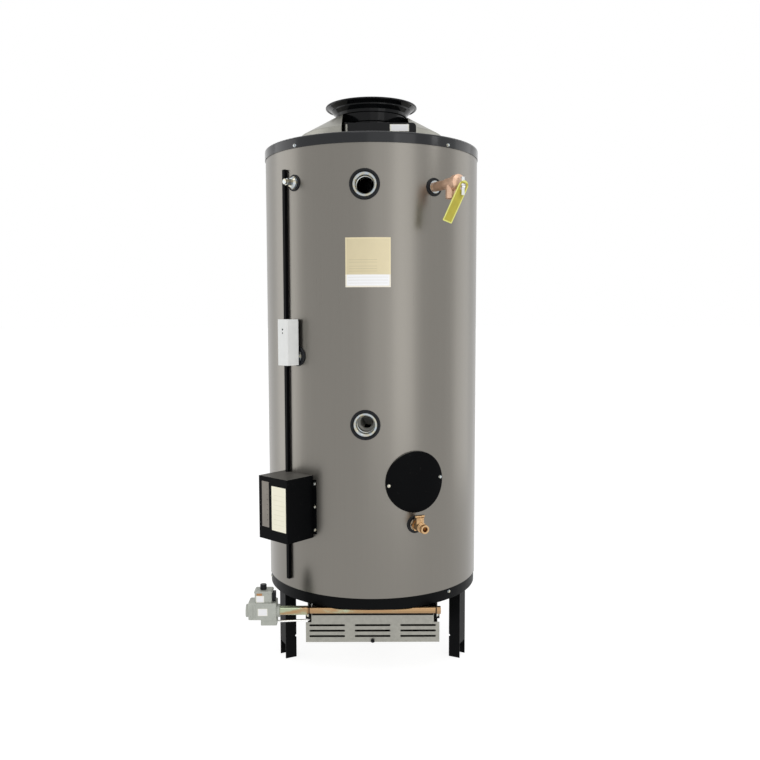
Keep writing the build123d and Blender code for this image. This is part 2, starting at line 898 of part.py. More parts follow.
# Hood plate: a flanged plate on the lid in front of the draught window
with BuildPart() as hood_plate:
    with BuildSketch(front(-hood_plate_reach)):
        with Locations(((hood_plate_left + hood_plate_right) / 2, (lid_top + hood_plate_top) / 2)):
            Rectangle(hood_plate_right - hood_plate_left, hood_plate_top - lid_top)
    extrude(amount=hood_plate_wall)
    corner = hood_plate.edges().filter_by(Axis.Y).group_by(Axis.Z)[-1].sort_by(Axis.X)[-1]
    fillet(corner, hood_plate_corner)
    extrude(block(front(-hood_plate_reach), hood_plate_left, hood_plate_right,
                  lid_top, lid_top + hood_plate_wall), amount=hood_plate_lip)
    extrude(block(front(-hood_plate_reach), hood_plate_left, hood_plate_left + hood_plate_wall,
                  lid_top, hood_plate_top), amount=hood_plate_lip)
save(hood_plate, "hood_plate")

# Base: a ring under the jacket, a pan inside it and three channel legs
with BuildPart() as base_ring:
    upstand = jacket_radius - jacket_wall - sheet_gap
    ledge = jacket_bottom - base_ledge
    revolve(face(Plane.XZ, (base_inner, base_bottom), (base_radius, base_bottom), (base_radius, ledge),
                 (jacket_radius, ledge), (jacket_radius, jacket_bottom), (upstand, jacket_bottom),
                 (upstand, jacket_bottom + base_upstand), (upstand - base_wall, jacket_bottom + base_upstand),
                 (upstand - base_wall, ledge + base_wall), (base_inner, ledge + base_wall)),
            axis=Axis.Z)
save(base_ring, "base_ring")

with BuildPart() as base_pan:
    revolve(face(Plane.XZ, (0, base_bottom), (base_inner, base_bottom), (base_inner, base_bottom + pan_rim),
                 (base_inner - pan_wall, base_bottom + pan_rim), (base_inner - pan_wall, pan_top),
                 (0, pan_top)),
            axis=Axis.Z)
    half = tray_half_width - pan_ledge
    with BuildSketch(Plane.XY):
        Circle(tank_radius - skirt_ledge)
        add(block(Plane.XY, -half, half, tray_front + pan_ledge_front, tray_back - pan_ledge_back),
            mode=Mode.INTERSECT)
    extrude(amount=lid_top, mode=Mode.SUBTRACT)
    for angle in leg_angles.values():
        with BuildSketch(level(angle, 0)):
            with Locations((0, leg_reach - leg_depth / 2)):
                with GridLocations(leg_bolt_spread, 1, 2, 1):
                    Circle(bolt_shank)
        extrude(amount=lid_top, mode=Mode.SUBTRACT)
save(base_pan, "base_pan")

for leg_name, angle in leg_angles.items():
    with BuildPart() as leg:
        spot = port(angle, 0, leg_reach)
        profile = face(upright(spot), (0, base_bottom), (-leg_depth, base_bottom), (-leg_depth, 0), (0, 0))
        extrude(profile, amount=leg_width / 2, both=True)
        inside = leg_width / 2 - leg_wall
        with BuildSketch(level(angle, 0)):
            with Locations((0, leg_reach - leg_wall - leg_depth / 2)):
                Rectangle(2 * inside, leg_depth)
        extrude(amount=base_bottom - leg_wall, mode=Mode.SUBTRACT)
        with BuildSketch(level(angle, 0)):
            with Locations((0, leg_reach)):
                Rectangle(2 * inside, 4 * leg_wall)
        extrude(amount=foot_height, mode=Mode.SUBTRACT)
        with BuildSketch(upright(spot)):
            with Locations((-leg_depth, leg_notch_height)):
                Circle(leg_notch)
        extrude(amount=leg_width / 2, both=True, mode=Mode.SUBTRACT)
        with BuildSketch(level(angle, base_bottom - leg_wall)):
            with Locations((0, leg_reach - leg_depth / 2)):
                with GridLocations(leg_bolt_spread, 1, 2, 1):
                    Circle(bolt_shank)
        extrude(amount=leg_wall, mode=Mode.SUBTRACT)
    save(leg, leg_name)

with BuildPart() as leg_bolts:
    for angle in leg_angles.values():
        with BuildSketch(level(angle, base_bottom - leg_wall)):
            with Locations((0, leg_reach - leg_depth / 2)):
                with GridLocations(leg_bolt_spread, 1, 2, 1):
                    RegularPolygon(bolt_head, 6)
        extrude(amount=-bolt_head_height)
        with BuildSketch(level(angle, base_bottom - leg_wall)):
            with Locations((0, leg_reach - leg_depth / 2)):
                with GridLocations(leg_bolt_spread, 1, 2, 1):
                    Circle(bolt_shank)
        extrude(amount=leg_wall + pan_wall + bolt_head_height)
save(leg_bolts, "leg_bolts")

# Burner tray: a box hung under the pan, open at the top and front
with BuildPart() as burner_tray:
    length = tray_back - tray_front
    middle = (tray_back + tray_front) / 2
    with BuildSketch(Plane.XY.offset(tray_floor)):
        with Locations((0, middle)):
            Rectangle(2 * tray_half_width, length)
    extrude(amount=base_bottom - tray_floor)
    inside = tray_half_width - tray_wall
    extrude(block(Plane.XY.offset(tray_floor + tray_wall), -inside, inside,
                  tray_front - tray_wall, tray_back - tray_wall), amount=base_bottom, mode=Mode.SUBTRACT)
    for edge in (-tray_half_width - tray_flange, tray_half_width):
        extrude(block(Plane.XY.offset(base_bottom - tray_wall), edge, edge + tray_flange,
                      tray_front + tray_flange_inset, tray_back), amount=tray_wall)
    for place in rest_places:
        extrude(block(front(place), -inside, inside, rest_top - rest_depth, rest_top), amount=rest_wall)
save(burner_tray, "burner_tray")

# Burners: tubes with a flared mouth, a throat and slots along the top
with BuildPart() as burner_tubes:
    throat_start = burner_front + burner_mouth_length
    taper_start = throat_start + burner_throat_length
    taper_end = taper_start + burner_taper
    wall = burner_wall
    for x in burner_places:
        tube = Plane(origin=(x, 0, manifold_height), x_dir=(1, 0, 0), z_dir=(0, 0, 1))
        revolve(face(tube, (burner_mouth - wall, burner_front), (burner_mouth, burner_front),
                     (burner_throat, throat_start), (burner_throat, taper_start),
                     (burner_radius, taper_end), (burner_radius, burner_back), (0, burner_back),
                     (0, burner_back - wall), (burner_radius - wall, burner_back - wall),
                     (burner_radius - wall, taper_end), (burner_throat - wall, taper_start),
                     (burner_throat - wall, throat_start)),
                axis=Axis((x, 0, manifold_height), (0, 1, 0)))
        pitch = (burner_back - taper_end) / (burner_ports + 1)
        with BuildSketch(Plane.XY.offset(manifold_height)):
            with Locations((x, (burner_back + taper_end) / 2)):
                with GridLocations(1, pitch, 1, burner_ports):
                    Rectangle(burner_radius, burner_port_width)
        extrude(amount=2 * burner_radius, mode=Mode.SUBTRACT)
save(burner_tubes, "burner_tubes")

# Gas pipe: nipple from the valve, manifold, end plug and one orifice for each burner


def pipe_ring(place, outer, inner=0):
    """A round section square to the gas pipe."""
    with BuildSketch(side(place)) as section:
        with Locations((manifold_depth, manifold_height)):
            Circle(outer)
            if inner:
                Circle(inner, mode=Mode.SUBTRACT)
    return section.sketch


with BuildPart() as manifold_pipe:
    extrude(pipe_ring(manifold_left, manifold_radius, manifold_bore), amount=manifold_right - manifold_left)
    for x in burner_places:
        with BuildSketch(front(manifold_depth)):
            with Locations((x, manifold_height)):
                Circle(orifice_bore)
        extrude(amount=-2 * manifold_radius, mode=Mode.SUBTRACT)
save(manifold_pipe, "manifold_pipe")

with BuildPart() as manifold_nipple:
    start = valve_right + boss_length
    extrude(pipe_ring(start, nipple_radius, manifold_radius), amount=nipple_end - start)
save(manifold_nipple, "manifold_nipple")

with BuildPart() as manifold_end_plug:
    with BuildSketch(side(manifold_right)):
        with Locations((manifold_depth, manifold_height)):
            RegularPolygon(end_plug_radius, 6)
    extrude(amount=end_plug_length)
    extrude(pipe_ring(manifold_right, manifold_bore), amount=-end_plug_length)
save(manifold_end_plug, "manifold_end_plug")

with BuildPart() as burner_orifices:
    for x in burner_places:
        with BuildSketch(front(manifold_depth)):
            with Locations((x, manifold_height)):
                RegularPolygon(orifice_radius, 6)
                Circle(orifice_bore, mode=Mode.SUBTRACT)
        extrude(amount=-manifold_radius - orifice_length)
    extrude(pipe_ring(manifold_left, manifold_radius), amount=manifold_right - manifold_left,
            mode=Mode.SUBTRACT)
save(burner_orifices, "burner_orifices")

# Manifold brackets: plates that carry the pipe, with a front tab in the door's notch and a riveted hinge pin
with BuildPart() as manifold_brackets:
    arm_front = manifold_depth - bracket_arm
    arm_bottom = manifold_height - bracket_arm
    for hand in (-1, 1):
        plate = face(side(hand * bracket_inner), (bracket_back, base_bottom), (bracket_back, bracket_bottom),
                     (door_plane - door_wall, bracket_bottom), (door_plane - door_wall, arm_bottom),
                     (arm_front, arm_bottom), (arm_front, base_bottom - sheet_gap),
                     (tray_front, base_bottom - sheet_gap), (tray_front, base_bottom))
        extrude(plate, amount=hand * bracket_wall)
        inner, outer = sorted((hand * bracket_inner, hand * (bracket_inner + bracket_tab)))
        extrude(block(front(door_plane + door_wall), inner, outer, bracket_bottom, arm_bottom),
                amount=2 * door_wall)
    extrude(pipe_ring(-door_half_width, manifold_radius), amount=2 * door_half_width, mode=Mode.SUBTRACT)
    pin_end = door_half_width - notch_width - 2 * door_wall
    for hand in (-1, 1):
        with BuildSketch(side(hand * pin_end)):
            with Locations((hinge_depth, hinge_height)):
                Circle(hinge_radius)
        extrude(amount=hand * (bracket_inner + 2 * bracket_wall - pin_end))
save(manifold_brackets, "manifold_brackets")

# Burner door: a slotted panel hung by two ears on the hinge pins
with BuildPart() as burner_door:
    notch = door_half_width - notch_width
    panel = face(front(door_plane + door_wall / 2), (-door_half_width, door_bottom),
                 (door_half_width, door_bottom), (door_half_width, notch_bottom), (notch, notch_bottom),
                 (notch, door_top), (-notch, door_top), (-notch, notch_bottom),
                 (-door_half_width, notch_bottom))
    extrude(panel, amount=door_wall)
    with BuildSketch(front(door_plane + door_wall / 2)):
        with Locations((0, door_bottom + slot_rise)):
            with GridLocations(slot_pitch_x, slot_pitch_z, 3, 3):
                SlotOverall(slot_width, slot_height)
    extrude(amount=door_wall, mode=Mode.SUBTRACT)
    for hand in (-1, 1):
        ear = block(side(hand * notch), door_plane - door_wall / 2, door_plane + door_ear_depth,
                    hinge_height - door_ear_half, hinge_height + door_ear_half)
        extrude(ear, amount=-hand * door_wall)
    with BuildSketch(side(-door_half_width)):
        with Locations((hinge_depth, hinge_height)):
            Circle(hinge_radius + run_gap)
    extrude(amount=2 * door_half_width, mode=Mode.SUBTRACT)
save(burner_door, "burner_door")

with BuildPart() as door_latch:
    latch = front(door_plane - door_wall / 2)
    with BuildSketch(latch):
        with Locations((0, door_bottom + latch_rise)):
            Circle(latch_radius)
    extrude(amount=latch_depth / 2)
    with BuildSketch(latch.offset(latch_depth / 2)):
        with Locations((0, door_bottom + latch_rise)):
            Rectangle(2 * latch_radius, latch_grip)
    extrude(amount=latch_depth / 2)
save(door_latch, "door_latch")

# Gas valve: a cast body with a regulator head, a sump and bosses in line with the pipe
valve_front = manifold_depth - valve_depth / 2
with BuildPart() as gas_valve_body:
    back = front(manifold_depth + valve_depth / 2)
    extrude(block(back, valve_left, valve_right, valve_bottom, valve_top), amount=valve_depth)
    fillet(gas_valve_body.edges().filter_by(Axis.Z), valve_corner)
    fillet(gas_valve_body.faces().sort_by(Axis.Z)[-1].edges(), valve_edge)
    sump = front(manifold_depth + sump_depth / 2)
    extrude(block(sump, sump_left, valve_right, sump_bottom, valve_bottom), amount=sump_depth)
    extrude(pipe_ring(valve_right - boss_length, boss_radius), amount=2 * boss_length)
    extrude(pipe_ring(valve_left - boss_length, boss_radius), amount=2 * boss_length)
    extrude(pipe_ring(valve_left - boss_length, gas_inlet_radius), amount=gas_inlet_depth,
            mode=Mode.SUBTRACT)
    for i in range(valve_rib_count):
        place = valve_left + valve_rib_start + valve_rib_pitch * i
        extrude(block(front(valve_front), place, place + valve_rib_width, valve_bottom + valve_rib_margin,
                      valve_top - valve_rib_margin), amount=valve_rib_height)
save(gas_valve_body, "gas_valve_body")

with BuildPart() as gas_valve_head:
    back = front(manifold_depth + head_depth / 2)
    extrude(block(back, head_left, head_right, valve_top, head_top), amount=head_depth)
    fillet(gas_valve_head.edges().filter_by(Axis.Z), head_corner)
    with BuildSketch(Plane.XY.offset(head_top - head_cap_drop)):
        with Locations(((head_left + head_right) / 2, manifold_depth)):
            RectangleRounded(head_right - head_left + 2 * head_cap_lip, head_depth + 2 * head_cap_lip,
                             head_corner + head_cap_lip)
    extrude(amount=head_cap_height)
    with BuildSketch(Plane.XY.offset(head_top)):
        with Locations((knob_place, manifold_depth)):
            Circle(spindle_radius)
    extrude(amount=spindle_height)
save(gas_valve_head, "gas_valve_head")

with BuildPart() as gas_valve_socket:
    low = (valve_top + head_top - head_cap_drop - plug_socket_height) / 2
    plane = front(manifold_depth + plug_socket_depth / 2)
    extrude(block(plane, head_right, head_right + plug_socket_width, low, low + plug_socket_height),
            amount=plug_socket_depth)
    fillet(gas_valve_socket.edges().filter_by(Axis.X), plug_socket_edge)
save(gas_valve_socket, "gas_valve_socket")

with BuildPart() as gas_knob:
    knob_spot = Plane(origin=(knob_place, manifold_depth, head_top + swing_gap))
    extrude(disc(knob_spot, knob_radius), amount=knob_height)
    fillet(gas_knob.faces().sort_by(Axis.Z)[-1].edges(), knob_edge)
    with BuildSketch(knob_spot):
        with PolarLocations(knob_radius, knob_flutes):
            Circle(knob_flute)
    extrude(amount=knob_height, mode=Mode.SUBTRACT)
    extrude(disc(knob_spot, spindle_radius + run_gap), amount=spindle_height, mode=Mode.SUBTRACT)
save(gas_knob, "gas_knob")

# Pilot: a bent tube from the valve's sump to a small hood beside the first burner
pilot_exit = sump_bottom + pilot_rise
pilot_end = (pilot_side, tray_front + pilot_inset, pilot_low + pilot_climb)
with BuildPart() as pilot_tube:
    with BuildLine() as route:
        FilletPolyline((valve_right, pilot_depth, pilot_exit),
                       (valve_right + pilot_lead, pilot_depth, pilot_exit),
                       (pilot_side, door_plane, pilot_low), (pilot_side, pilot_end[1], pilot_low), pilot_end,
                       radius=pilot_bend)
    with BuildSketch(Plane(origin=route.line @ 0, z_dir=route.line % 0)):
        Circle(pilot_radius)
    sweep()
save(pilot_tube, "pilot_tube")

with BuildPart() as pilot_burner:
    hood = Plane(origin=pilot_end)
    extrude(disc(hood, pilot_hood_radius), amount=pilot_hood_length)
    hood_middle = hood.offset(pilot_hood_length / 2).origin
    with BuildSketch(Plane(origin=hood_middle, x_dir=(1, 0, 0), z_dir=(0, 1, 0))):
        Rectangle(2 * pilot_hood_radius, pilot_slot)
    extrude(amount=pilot_hood_radius, mode=Mode.SUBTRACT)
save(pilot_burner, "pilot_burner")

# Relief valve: a side outlet body, a bonnet, and a stem that a cam lever lifts off its seat
relief_spot = port(relief_angle, relief_height)
relief_axis = axis_of(relief_spot)
relief_side = upright(relief_spot)
outlet_middle = relief_spot.offset(outlet_place).origin
outlet_spot = Plane(origin=outlet_middle, x_dir=relief_spot.x_dir, z_dir=(0, 0, -1))
with BuildPart() as relief_body:
    revolve(face(lengthwise(relief_spot), (0, -shank_depth), (coupling_bore, -shank_depth),
                 (coupling_bore, coupling_proud), (relief_neck, coupling_proud),
                 (relief_neck, relief_body_start - relief_flare), (relief_body_radius, relief_body_start),
                 (relief_body_radius, relief_body_end), (0, relief_body_end)), axis=relief_axis)
    extrude(disc(outlet_spot, outlet_radius), amount=outlet_length)
    extrude(disc(relief_spot.offset(relief_seat), relief_chamber),
            amount=relief_body_end - relief_seat, mode=Mode.SUBTRACT)
    extrude(disc(relief_spot.offset(-shank_depth), relief_bore), amount=shank_depth + relief_body_end,
            mode=Mode.SUBTRACT)
    extrude(disc(outlet_spot, outlet_port), amount=outlet_length, mode=Mode.SUBTRACT)
    extrude(disc(outlet_spot.offset(outlet_length), outlet_bore), amount=-outlet_depth, mode=Mode.SUBTRACT)
save(relief_body, "relief_body")

with BuildPart() as relief_bonnet:
    thread_start = relief_body_end - bonnet_thread
    stem_hole = stem_radius + run_gap
    revolve(face(lengthwise(relief_spot), (spring_room, thread_start), (relief_chamber, thread_start),
                 (relief_chamber, relief_body_end), (bonnet_radius, relief_body_end),
                 (bonnet_radius, bonnet_roof), (bonnet_nose, bonnet_cap),
                 (stem_hole, bonnet_cap), (stem_hole, bonnet_roof), (spring_room, bonnet_roof)),
            axis=relief_axis)
save(relief_bonnet, "relief_bonnet")

with BuildPart() as relief_stem:
    probe_end = -probe_length
    disc_start = relief_seat + swing_gap
    disc_end = disc_start + disc_height
    with BuildSketch(lengthwise(relief_spot)):
        with BuildLine():
            Polyline((0, probe_end), (probe_radius, probe_end), (probe_radius, disc_start),
                     (disc_radius, disc_start), (disc_radius, disc_end), (stem_radius, disc_end),
                     (stem_radius, lever_pin_place))
            RadiusArc((stem_radius, lever_pin_place), (0, lever_pin_place + stem_radius), -stem_radius)
            Line((0, lever_pin_place + stem_radius), (0, probe_end))
        make_face()
    revolve(axis=relief_axis)
    with BuildSketch(relief_side):
        with Locations((lever_pin_place, 0)):
            Circle(lever_pin_radius)
    extrude(amount=stem_radius, both=True, mode=Mode.SUBTRACT)
save(relief_stem, "relief_stem")

with BuildPart() as relief_pin:
    with BuildSketch(relief_side):
        with Locations((lever_pin_place, 0)):
            Circle(lever_pin_radius)
    extrude(amount=lever_cheek_gap + 2 * lever_wall, both=True)
save(relief_pin, "relief_pin")

# The cam's flank rises evenly with the turn, so the stem follows the lever at a steady ratio
cam_rest = lever_pin_place - bonnet_cap - swing_gap
cam_rate = lever_lift / radians(lever_swing)
cam_flank = []
for i in range(5):
    turn = radians(lever_swing) * i / 4
    height = cam_rest + cam_rate * turn
    cam_flank.append((lever_pin_place - height * cos(turn) + cam_rate * sin(turn),
                      height * sin(turn) + cam_rate * cos(turn)))
strip_in = lever_pin_place + lever_offset
strip_out = strip_in + lever_wall
with BuildPart() as relief_lever:
    with BuildSketch(relief_side) as cheek:
        with BuildLine():
            flank = Spline(*cam_flank)
            Polyline(flank @ 1, (strip_out, cam_flank[-1][1]), (strip_out, -cam_rest),
                     (lever_pin_place - cam_rest, -cam_rest + lever_wall), flank @ 0)
        make_face()
    extrude(amount=lever_cheek_gap + lever_wall, both=True)
    with BuildSketch(relief_side):
        with Locations((lever_pin_place - lever_wall / 2, 0)):
            Rectangle(2 * cam_rest + lever_wall, 2 * lever_drop)
        with Locations((strip_out, 0)):
            Rectangle(2 * lever_wall, 2 * lever_drop, mode=Mode.SUBTRACT)
    extrude(amount=lever_cheek_gap, both=True, mode=Mode.SUBTRACT)
    strip_half = lever_cheek_gap + lever_wall
    extrude(block(relief_spot.offset(strip_in), -strip_half, strip_half, -lever_drop, -cam_rest + lever_wall),
            amount=lever_wall)
    with BuildSketch(relief_side):
        with Locations((strip_in + lever_wall / 2, -tag_drop)):
            Circle(eye_radius)
    extrude(amount=strip_half, both=True)
    with BuildSketch(relief_side):
        with Locations((strip_in + lever_wall / 2, -tag_drop)):
            Circle(lever_pin_radius + run_gap)
    extrude(amount=strip_half, both=True, mode=Mode.SUBTRACT)
    with BuildSketch(relief_side):
        with Locations((lever_pin_place, 0)):
            Circle(lever_pin_radius + run_gap)
    extrude(amount=strip_half, both=True, mode=Mode.SUBTRACT)
save(relief_lever, "relief_lever")

# Tag: a stiff strip with a ring round the lever and a moulded pin through its eye, leaning in to the jacket
tag_pivot = relief_side.from_local_coords((strip_in + lever_wall / 2, -tag_drop, 0))
tag_down = relief_spot.y_dir * -cos(radians(tag_lean)) + relief_spot.z_dir * -sin(radians(tag_lean))
tag_hang = Plane(origin=tag_pivot, x_dir=relief_spot.x_dir, z_dir=relief_spot.x_dir.cross(-tag_down))
tag_across = relief_spot.x_dir * cos(radians(tag_tilt)) + tag_down * sin(radians(tag_tilt))
tag_face = Plane(origin=tag_pivot, x_dir=tag_across, z_dir=tag_hang.z_dir)
with BuildPart() as relief_tag:
    with BuildSketch(tag_face.offset(-tag_wall / 2)):
        with Locations((0, -tag_length / 2)):
            RectangleRounded(tag_width, tag_length, tag_corner)
        with Locations((0, -tag_width / 4)):
            Rectangle(tag_width, tag_width / 2)
        Circle(tag_width / 2)
        Circle(tag_hole, mode=Mode.SUBTRACT)
    extrude(amount=tag_wall)
    extrude(disc(Plane(origin=tag_pivot, x_dir=tag_hang.y_dir, z_dir=tag_hang.x_dir), lever_pin_radius),
            amount=tag_hole + lever_pin_radius, both=True)
save(relief_tag, "relief_tag")

# Drain valve: a plug cock with a hose end and a small handle on top
drain_spot = port(drain_angle, drain_height)
drain_axis = axis_of(drain_spot)
cock_spot = Plane(origin=drain_spot.offset(cock_place).origin, x_dir=drain_spot.x_dir, z_dir=(0, 0, 1))
with BuildPart() as drain_body:
    revolve(face(lengthwise(drain_spot), (0, -shank_depth), (coupling_bore, -shank_depth),
                 (coupling_bore, drain_hex_end), (drain_barrel, drain_hex_end + drain_shoulder),
                 (drain_barrel, drain_barrel_end - hose_shoulder), (hose_radius, drain_barrel_end),
                 (hose_radius, drain_end), (0, drain_end)), axis=drain_axis)
    extrude(hexagon(drain_spot.offset(coupling_proud), drain_hex), amount=drain_hex_length)
    extrude(disc(cock_spot, cock_boss), amount=cock_top)
    extrude(disc(drain_spot.offset(-shank_depth), drain_bore), amount=shank_depth + drain_end,
            mode=Mode.SUBTRACT)
    extrude(disc(cock_spot.offset(-cock_floor), cock_radius + run_gap), amount=cock_floor + cock_top,
            mode=Mode.SUBTRACT)
save(drain_body, "drain_body")

with BuildPart() as drain_gland:
    extrude(disc(cock_spot.offset(cock_top), cock_boss, drain_stem_radius + run_gap), amount=gland_height)
save(drain_gland, "drain_gland")

with BuildPart() as drain_cock:
    foot = cock_spot.offset(-cock_floor + swing_gap)
    extrude(disc(foot, cock_radius), amount=cock_floor + cock_top - 2 * swing_gap)
    stem_top = cock_top + gland_height + swing_gap + drain_handle_wall
    extrude(disc(cock_spot, drain_stem_radius), amount=stem_top)
    with BuildSketch(Plane(origin=cock_spot.origin, x_dir=drain_spot.z_dir, z_dir=drain_spot.x_dir)):
        Circle(cock_hole)
    extrude(amount=2 * cock_radius, both=True, mode=Mode.SUBTRACT)
save(drain_cock, "drain_cock")

with BuildPart() as drain_handle:
    with BuildSketch(cock_spot.offset(cock_top + gland_height + swing_gap)):
        SlotOverall(drain_handle_length, drain_handle_width)
        Circle(drain_handle_hub)
        Circle(drain_stem_radius, mode=Mode.SUBTRACT)
    extrude(amount=drain_handle_wall)
save(drain_handle, "drain_handle")

# Aquastat: a well in the tank, a switch on a back plate with its dial, and a cover with a window
aquastat_spot = port(aquastat_angle, 0)
well_spot = port(well_angle, well_height)
aquastat_half = aquastat_width / 2
with BuildPart() as aquastat_well:
    extrude(disc(well_spot.offset(-shank_depth), coupling_bore), amount=shank_depth + 2 * aquastat_back)
    extrude(disc(well_spot.offset(-shank_depth), well_radius), amount=-well_depth)
    extrude(block(aquastat_spot.offset(aquastat_back), -aquastat_width, aquastat_width,
                  aquastat_bottom, aquastat_top), amount=aquastat_front, mode=Mode.SUBTRACT)
save(aquastat_well, "aquastat_well")

with BuildPart() as aquastat_switch:
    extrude(block(aquastat_spot.offset(aquastat_back), -aquastat_half, aquastat_half,
                  aquastat_bottom, aquastat_top), amount=aquastat_plate)
    start = aquastat_back + aquastat_plate
    extrude(block(aquastat_spot.offset(start), -switch_width / 2, switch_width / 2,
                  switch_bottom, switch_top), amount=switch_front - start)
    with BuildSketch(aquastat_spot.offset(switch_front)):
        with Locations((0, dial_height)):
            Circle(spindle_radius)
    extrude(amount=aquastat_front - aquastat_wall - 2 * swing_gap - switch_front)
save(aquastat_switch, "aquastat_switch")

with BuildPart() as aquastat_dial:
    dial_back = aquastat_front - aquastat_wall - dial_gap - dial_wall
    with BuildSketch(aquastat_spot.offset(dial_back)):
        with Locations((0, dial_height)):
            Circle(dial_radius)
            Circle(spindle_radius + run_gap, mode=Mode.SUBTRACT)
            with PolarLocations(dial_radius, dial_notches):
                Circle(dial_notch, mode=Mode.SUBTRACT)
    extrude(amount=dial_wall)
save(aquastat_dial, "aquastat_dial")

with BuildPart() as aquastat_cover:
    start = aquastat_back + aquastat_plate
    extrude(block(aquastat_spot.offset(start), -aquastat_half, aquastat_half, aquastat_bottom, aquastat_top),
            amount=aquastat_front - start)
    fillet(aquastat_cover.edges().filter_by(Axis.Z).sort_by_distance((0, 0, 0))[-2:], aquastat_edge)
    inside = aquastat_half - aquastat_wall
    extrude(block(aquastat_spot.offset(start), -inside, inside, aquastat_bottom + aquastat_wall,
                  aquastat_top - aquastat_wall), amount=aquastat_front - aquastat_wall - start,
            mode=Mode.SUBTRACT)
    with BuildSketch(aquastat_spot.offset(start)):
        with Locations((0, dial_height)):
            Circle(screw_hole_radius)
        with Locations((0, dial_height + window_offset)):
            RectangleRounded(window_width, window_height, window_corner)
    extrude(amount=aquastat_front, mode=Mode.SUBTRACT)
save(aquastat_cover, "aquastat_cover")

# Control box with its module, and the wire raceway that runs through it
control_spot = port(control_angle, 0)
control_half = control_width / 2
control_inside = control_half - control_wall
raceway_half = raceway_width / 2
raceway_out = jacket_radius + raceway_height
with BuildPart() as wire_raceway:
    extrude(block(level(raceway_angle, raceway_bottom), -raceway_half, raceway_half,
                  jacket_radius - raceway_height, raceway_out), amount=raceway_top - raceway_bottom)
    room = raceway_half - raceway_wall
    extrude(block(level(raceway_angle, raceway_bottom + raceway_wall), -room, room,
                  jacket_radius - 2 * raceway_height, raceway_out - raceway_wall),
            amount=raceway_top - raceway_bottom - 2 * raceway_wall, mode=Mode.SUBTRACT)
    Cylinder(jacket_radius, lid_top, align=(Align.CENTER, Align.CENTER, Align.MIN), mode=Mode.SUBTRACT)
save(wire_raceway, "wire_raceway")

with BuildPart(mode=Mode.PRIVATE) as flange_band:
    low, high = control_bottom + control_flange, control_top - control_flange
    wide = control_half + control_flange
    extrude(block(port(control_angle, 0, jacket_radius / 2), -wide, wide, low, high), amount=jacket_radius)
    extrude(disc(Plane.XY.offset(low), jacket_radius + control_wall), amount=high - low, mode=Mode.INTERSECT)

with BuildPart() as control_box_cover:
    extrude(block(port(control_angle, 0, jacket_radius / 2), -control_half, control_half,
                  control_bottom, control_top), amount=jacket_radius / 2 + control_front)
    outer_face = control_box_cover.faces().sort_by_distance(control_spot.offset(control_front * 2).origin)[0]
    fillet(outer_face.edges(), control_edge)
    add(flange_band.part)
    extrude(block(port(control_angle, 0, jacket_radius / 2), -control_inside, control_inside,
                  control_bottom + control_wall, control_top - control_wall),
            amount=jacket_radius / 2 + control_front - control_wall, mode=Mode.SUBTRACT)
    Cylinder(jacket_radius, lid_top, align=(Align.CENTER, Align.CENTER, Align.MIN), mode=Mode.SUBTRACT)
    room = raceway_half + sheet_gap
    extrude(block(level(raceway_angle, control_bottom - control_wall), -room, room, jacket_radius / 2,
                  raceway_out + sheet_gap), amount=control_top - control_bottom + 2 * control_wall,
            mode=Mode.SUBTRACT)
save(control_box_cover, "control_box_cover")

with BuildPart() as control_module:
    middle = (control_bottom + control_top) / 2
    extrude(block(control_spot.offset(module_back), -module_width / 2, module_width / 2,
                  middle - module_height / 2, middle + module_height / 2), amount=module_depth)
    fillet(control_module.edges().filter_by(Axis.Z), module_corner)
    extrude(block(control_spot.offset(module_back), -control_inside, control_inside,
                  control_bottom + control_wall, control_top - control_wall), amount=control_wall)
save(control_module, "control_module")

# Sheet screws: one kind of washer-head screw holds the lid, base, brackets, box and cleanout cover
screw_seats = [port(angle, lid_screw_height, lid_outer) for angle in lid_screw_angles]
screw_seats += [port(angle, base_screw_height, base_radius) for angle in base_screw_angles]
box_reach = (control_half + control_flange / 2) / jacket_radius / radians(1)
box_low = control_bottom + 2 * control_flange
box_high = control_top - 2 * control_flange
for angle in (control_angle - box_reach, control_angle + box_reach):
    for height in (box_low, (box_low + box_high) / 2, box_high):
        screw_seats.append(port(angle, height, jacket_radius + control_wall))
for turn in (cleanout_screw_turn, 180 + cleanout_screw_turn):
    lean = cleanout_angle + cleanout_screw_circle * cos(radians(turn)) / jacket_radius / radians(1)
    rise = cleanout_screw_circle * sin(radians(turn))
    screw_seats.append(port(lean, cleanout_height + rise, jacket_radius + cleanout_dish))
tab_face = front(door_plane - door_wall)
tab_height = (bracket_bottom + manifold_height - bracket_arm) / 2
for hand in (-1, 1):
    tab_middle = tab_face.from_local_coords((hand * (bracket_inner + bracket_tab / 2), tab_height, 0))
    screw_seats.append(Plane(origin=tab_middle, x_dir=tab_face.x_dir, z_dir=tab_face.z_dir))
with BuildPart() as sheet_screws:
    for seat in screw_seats:
        extrude(disc(seat, screw_washer), amount=screw_washer_wall)
        extrude(hexagon(seat, screw_head), amount=screw_head_height)
save(sheet_screws, "sheet_screws")
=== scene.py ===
"""Looks of a gas storage water heater on three legs: its finishes, small fittings, stage and camera."""

import json
from math import cos, pi, radians, sin

import bmesh
import bpy
import numpy as np
from bpy.props import FloatProperty, FloatVectorProperty, IntProperty, PointerProperty
from mathutils import Matrix, Vector


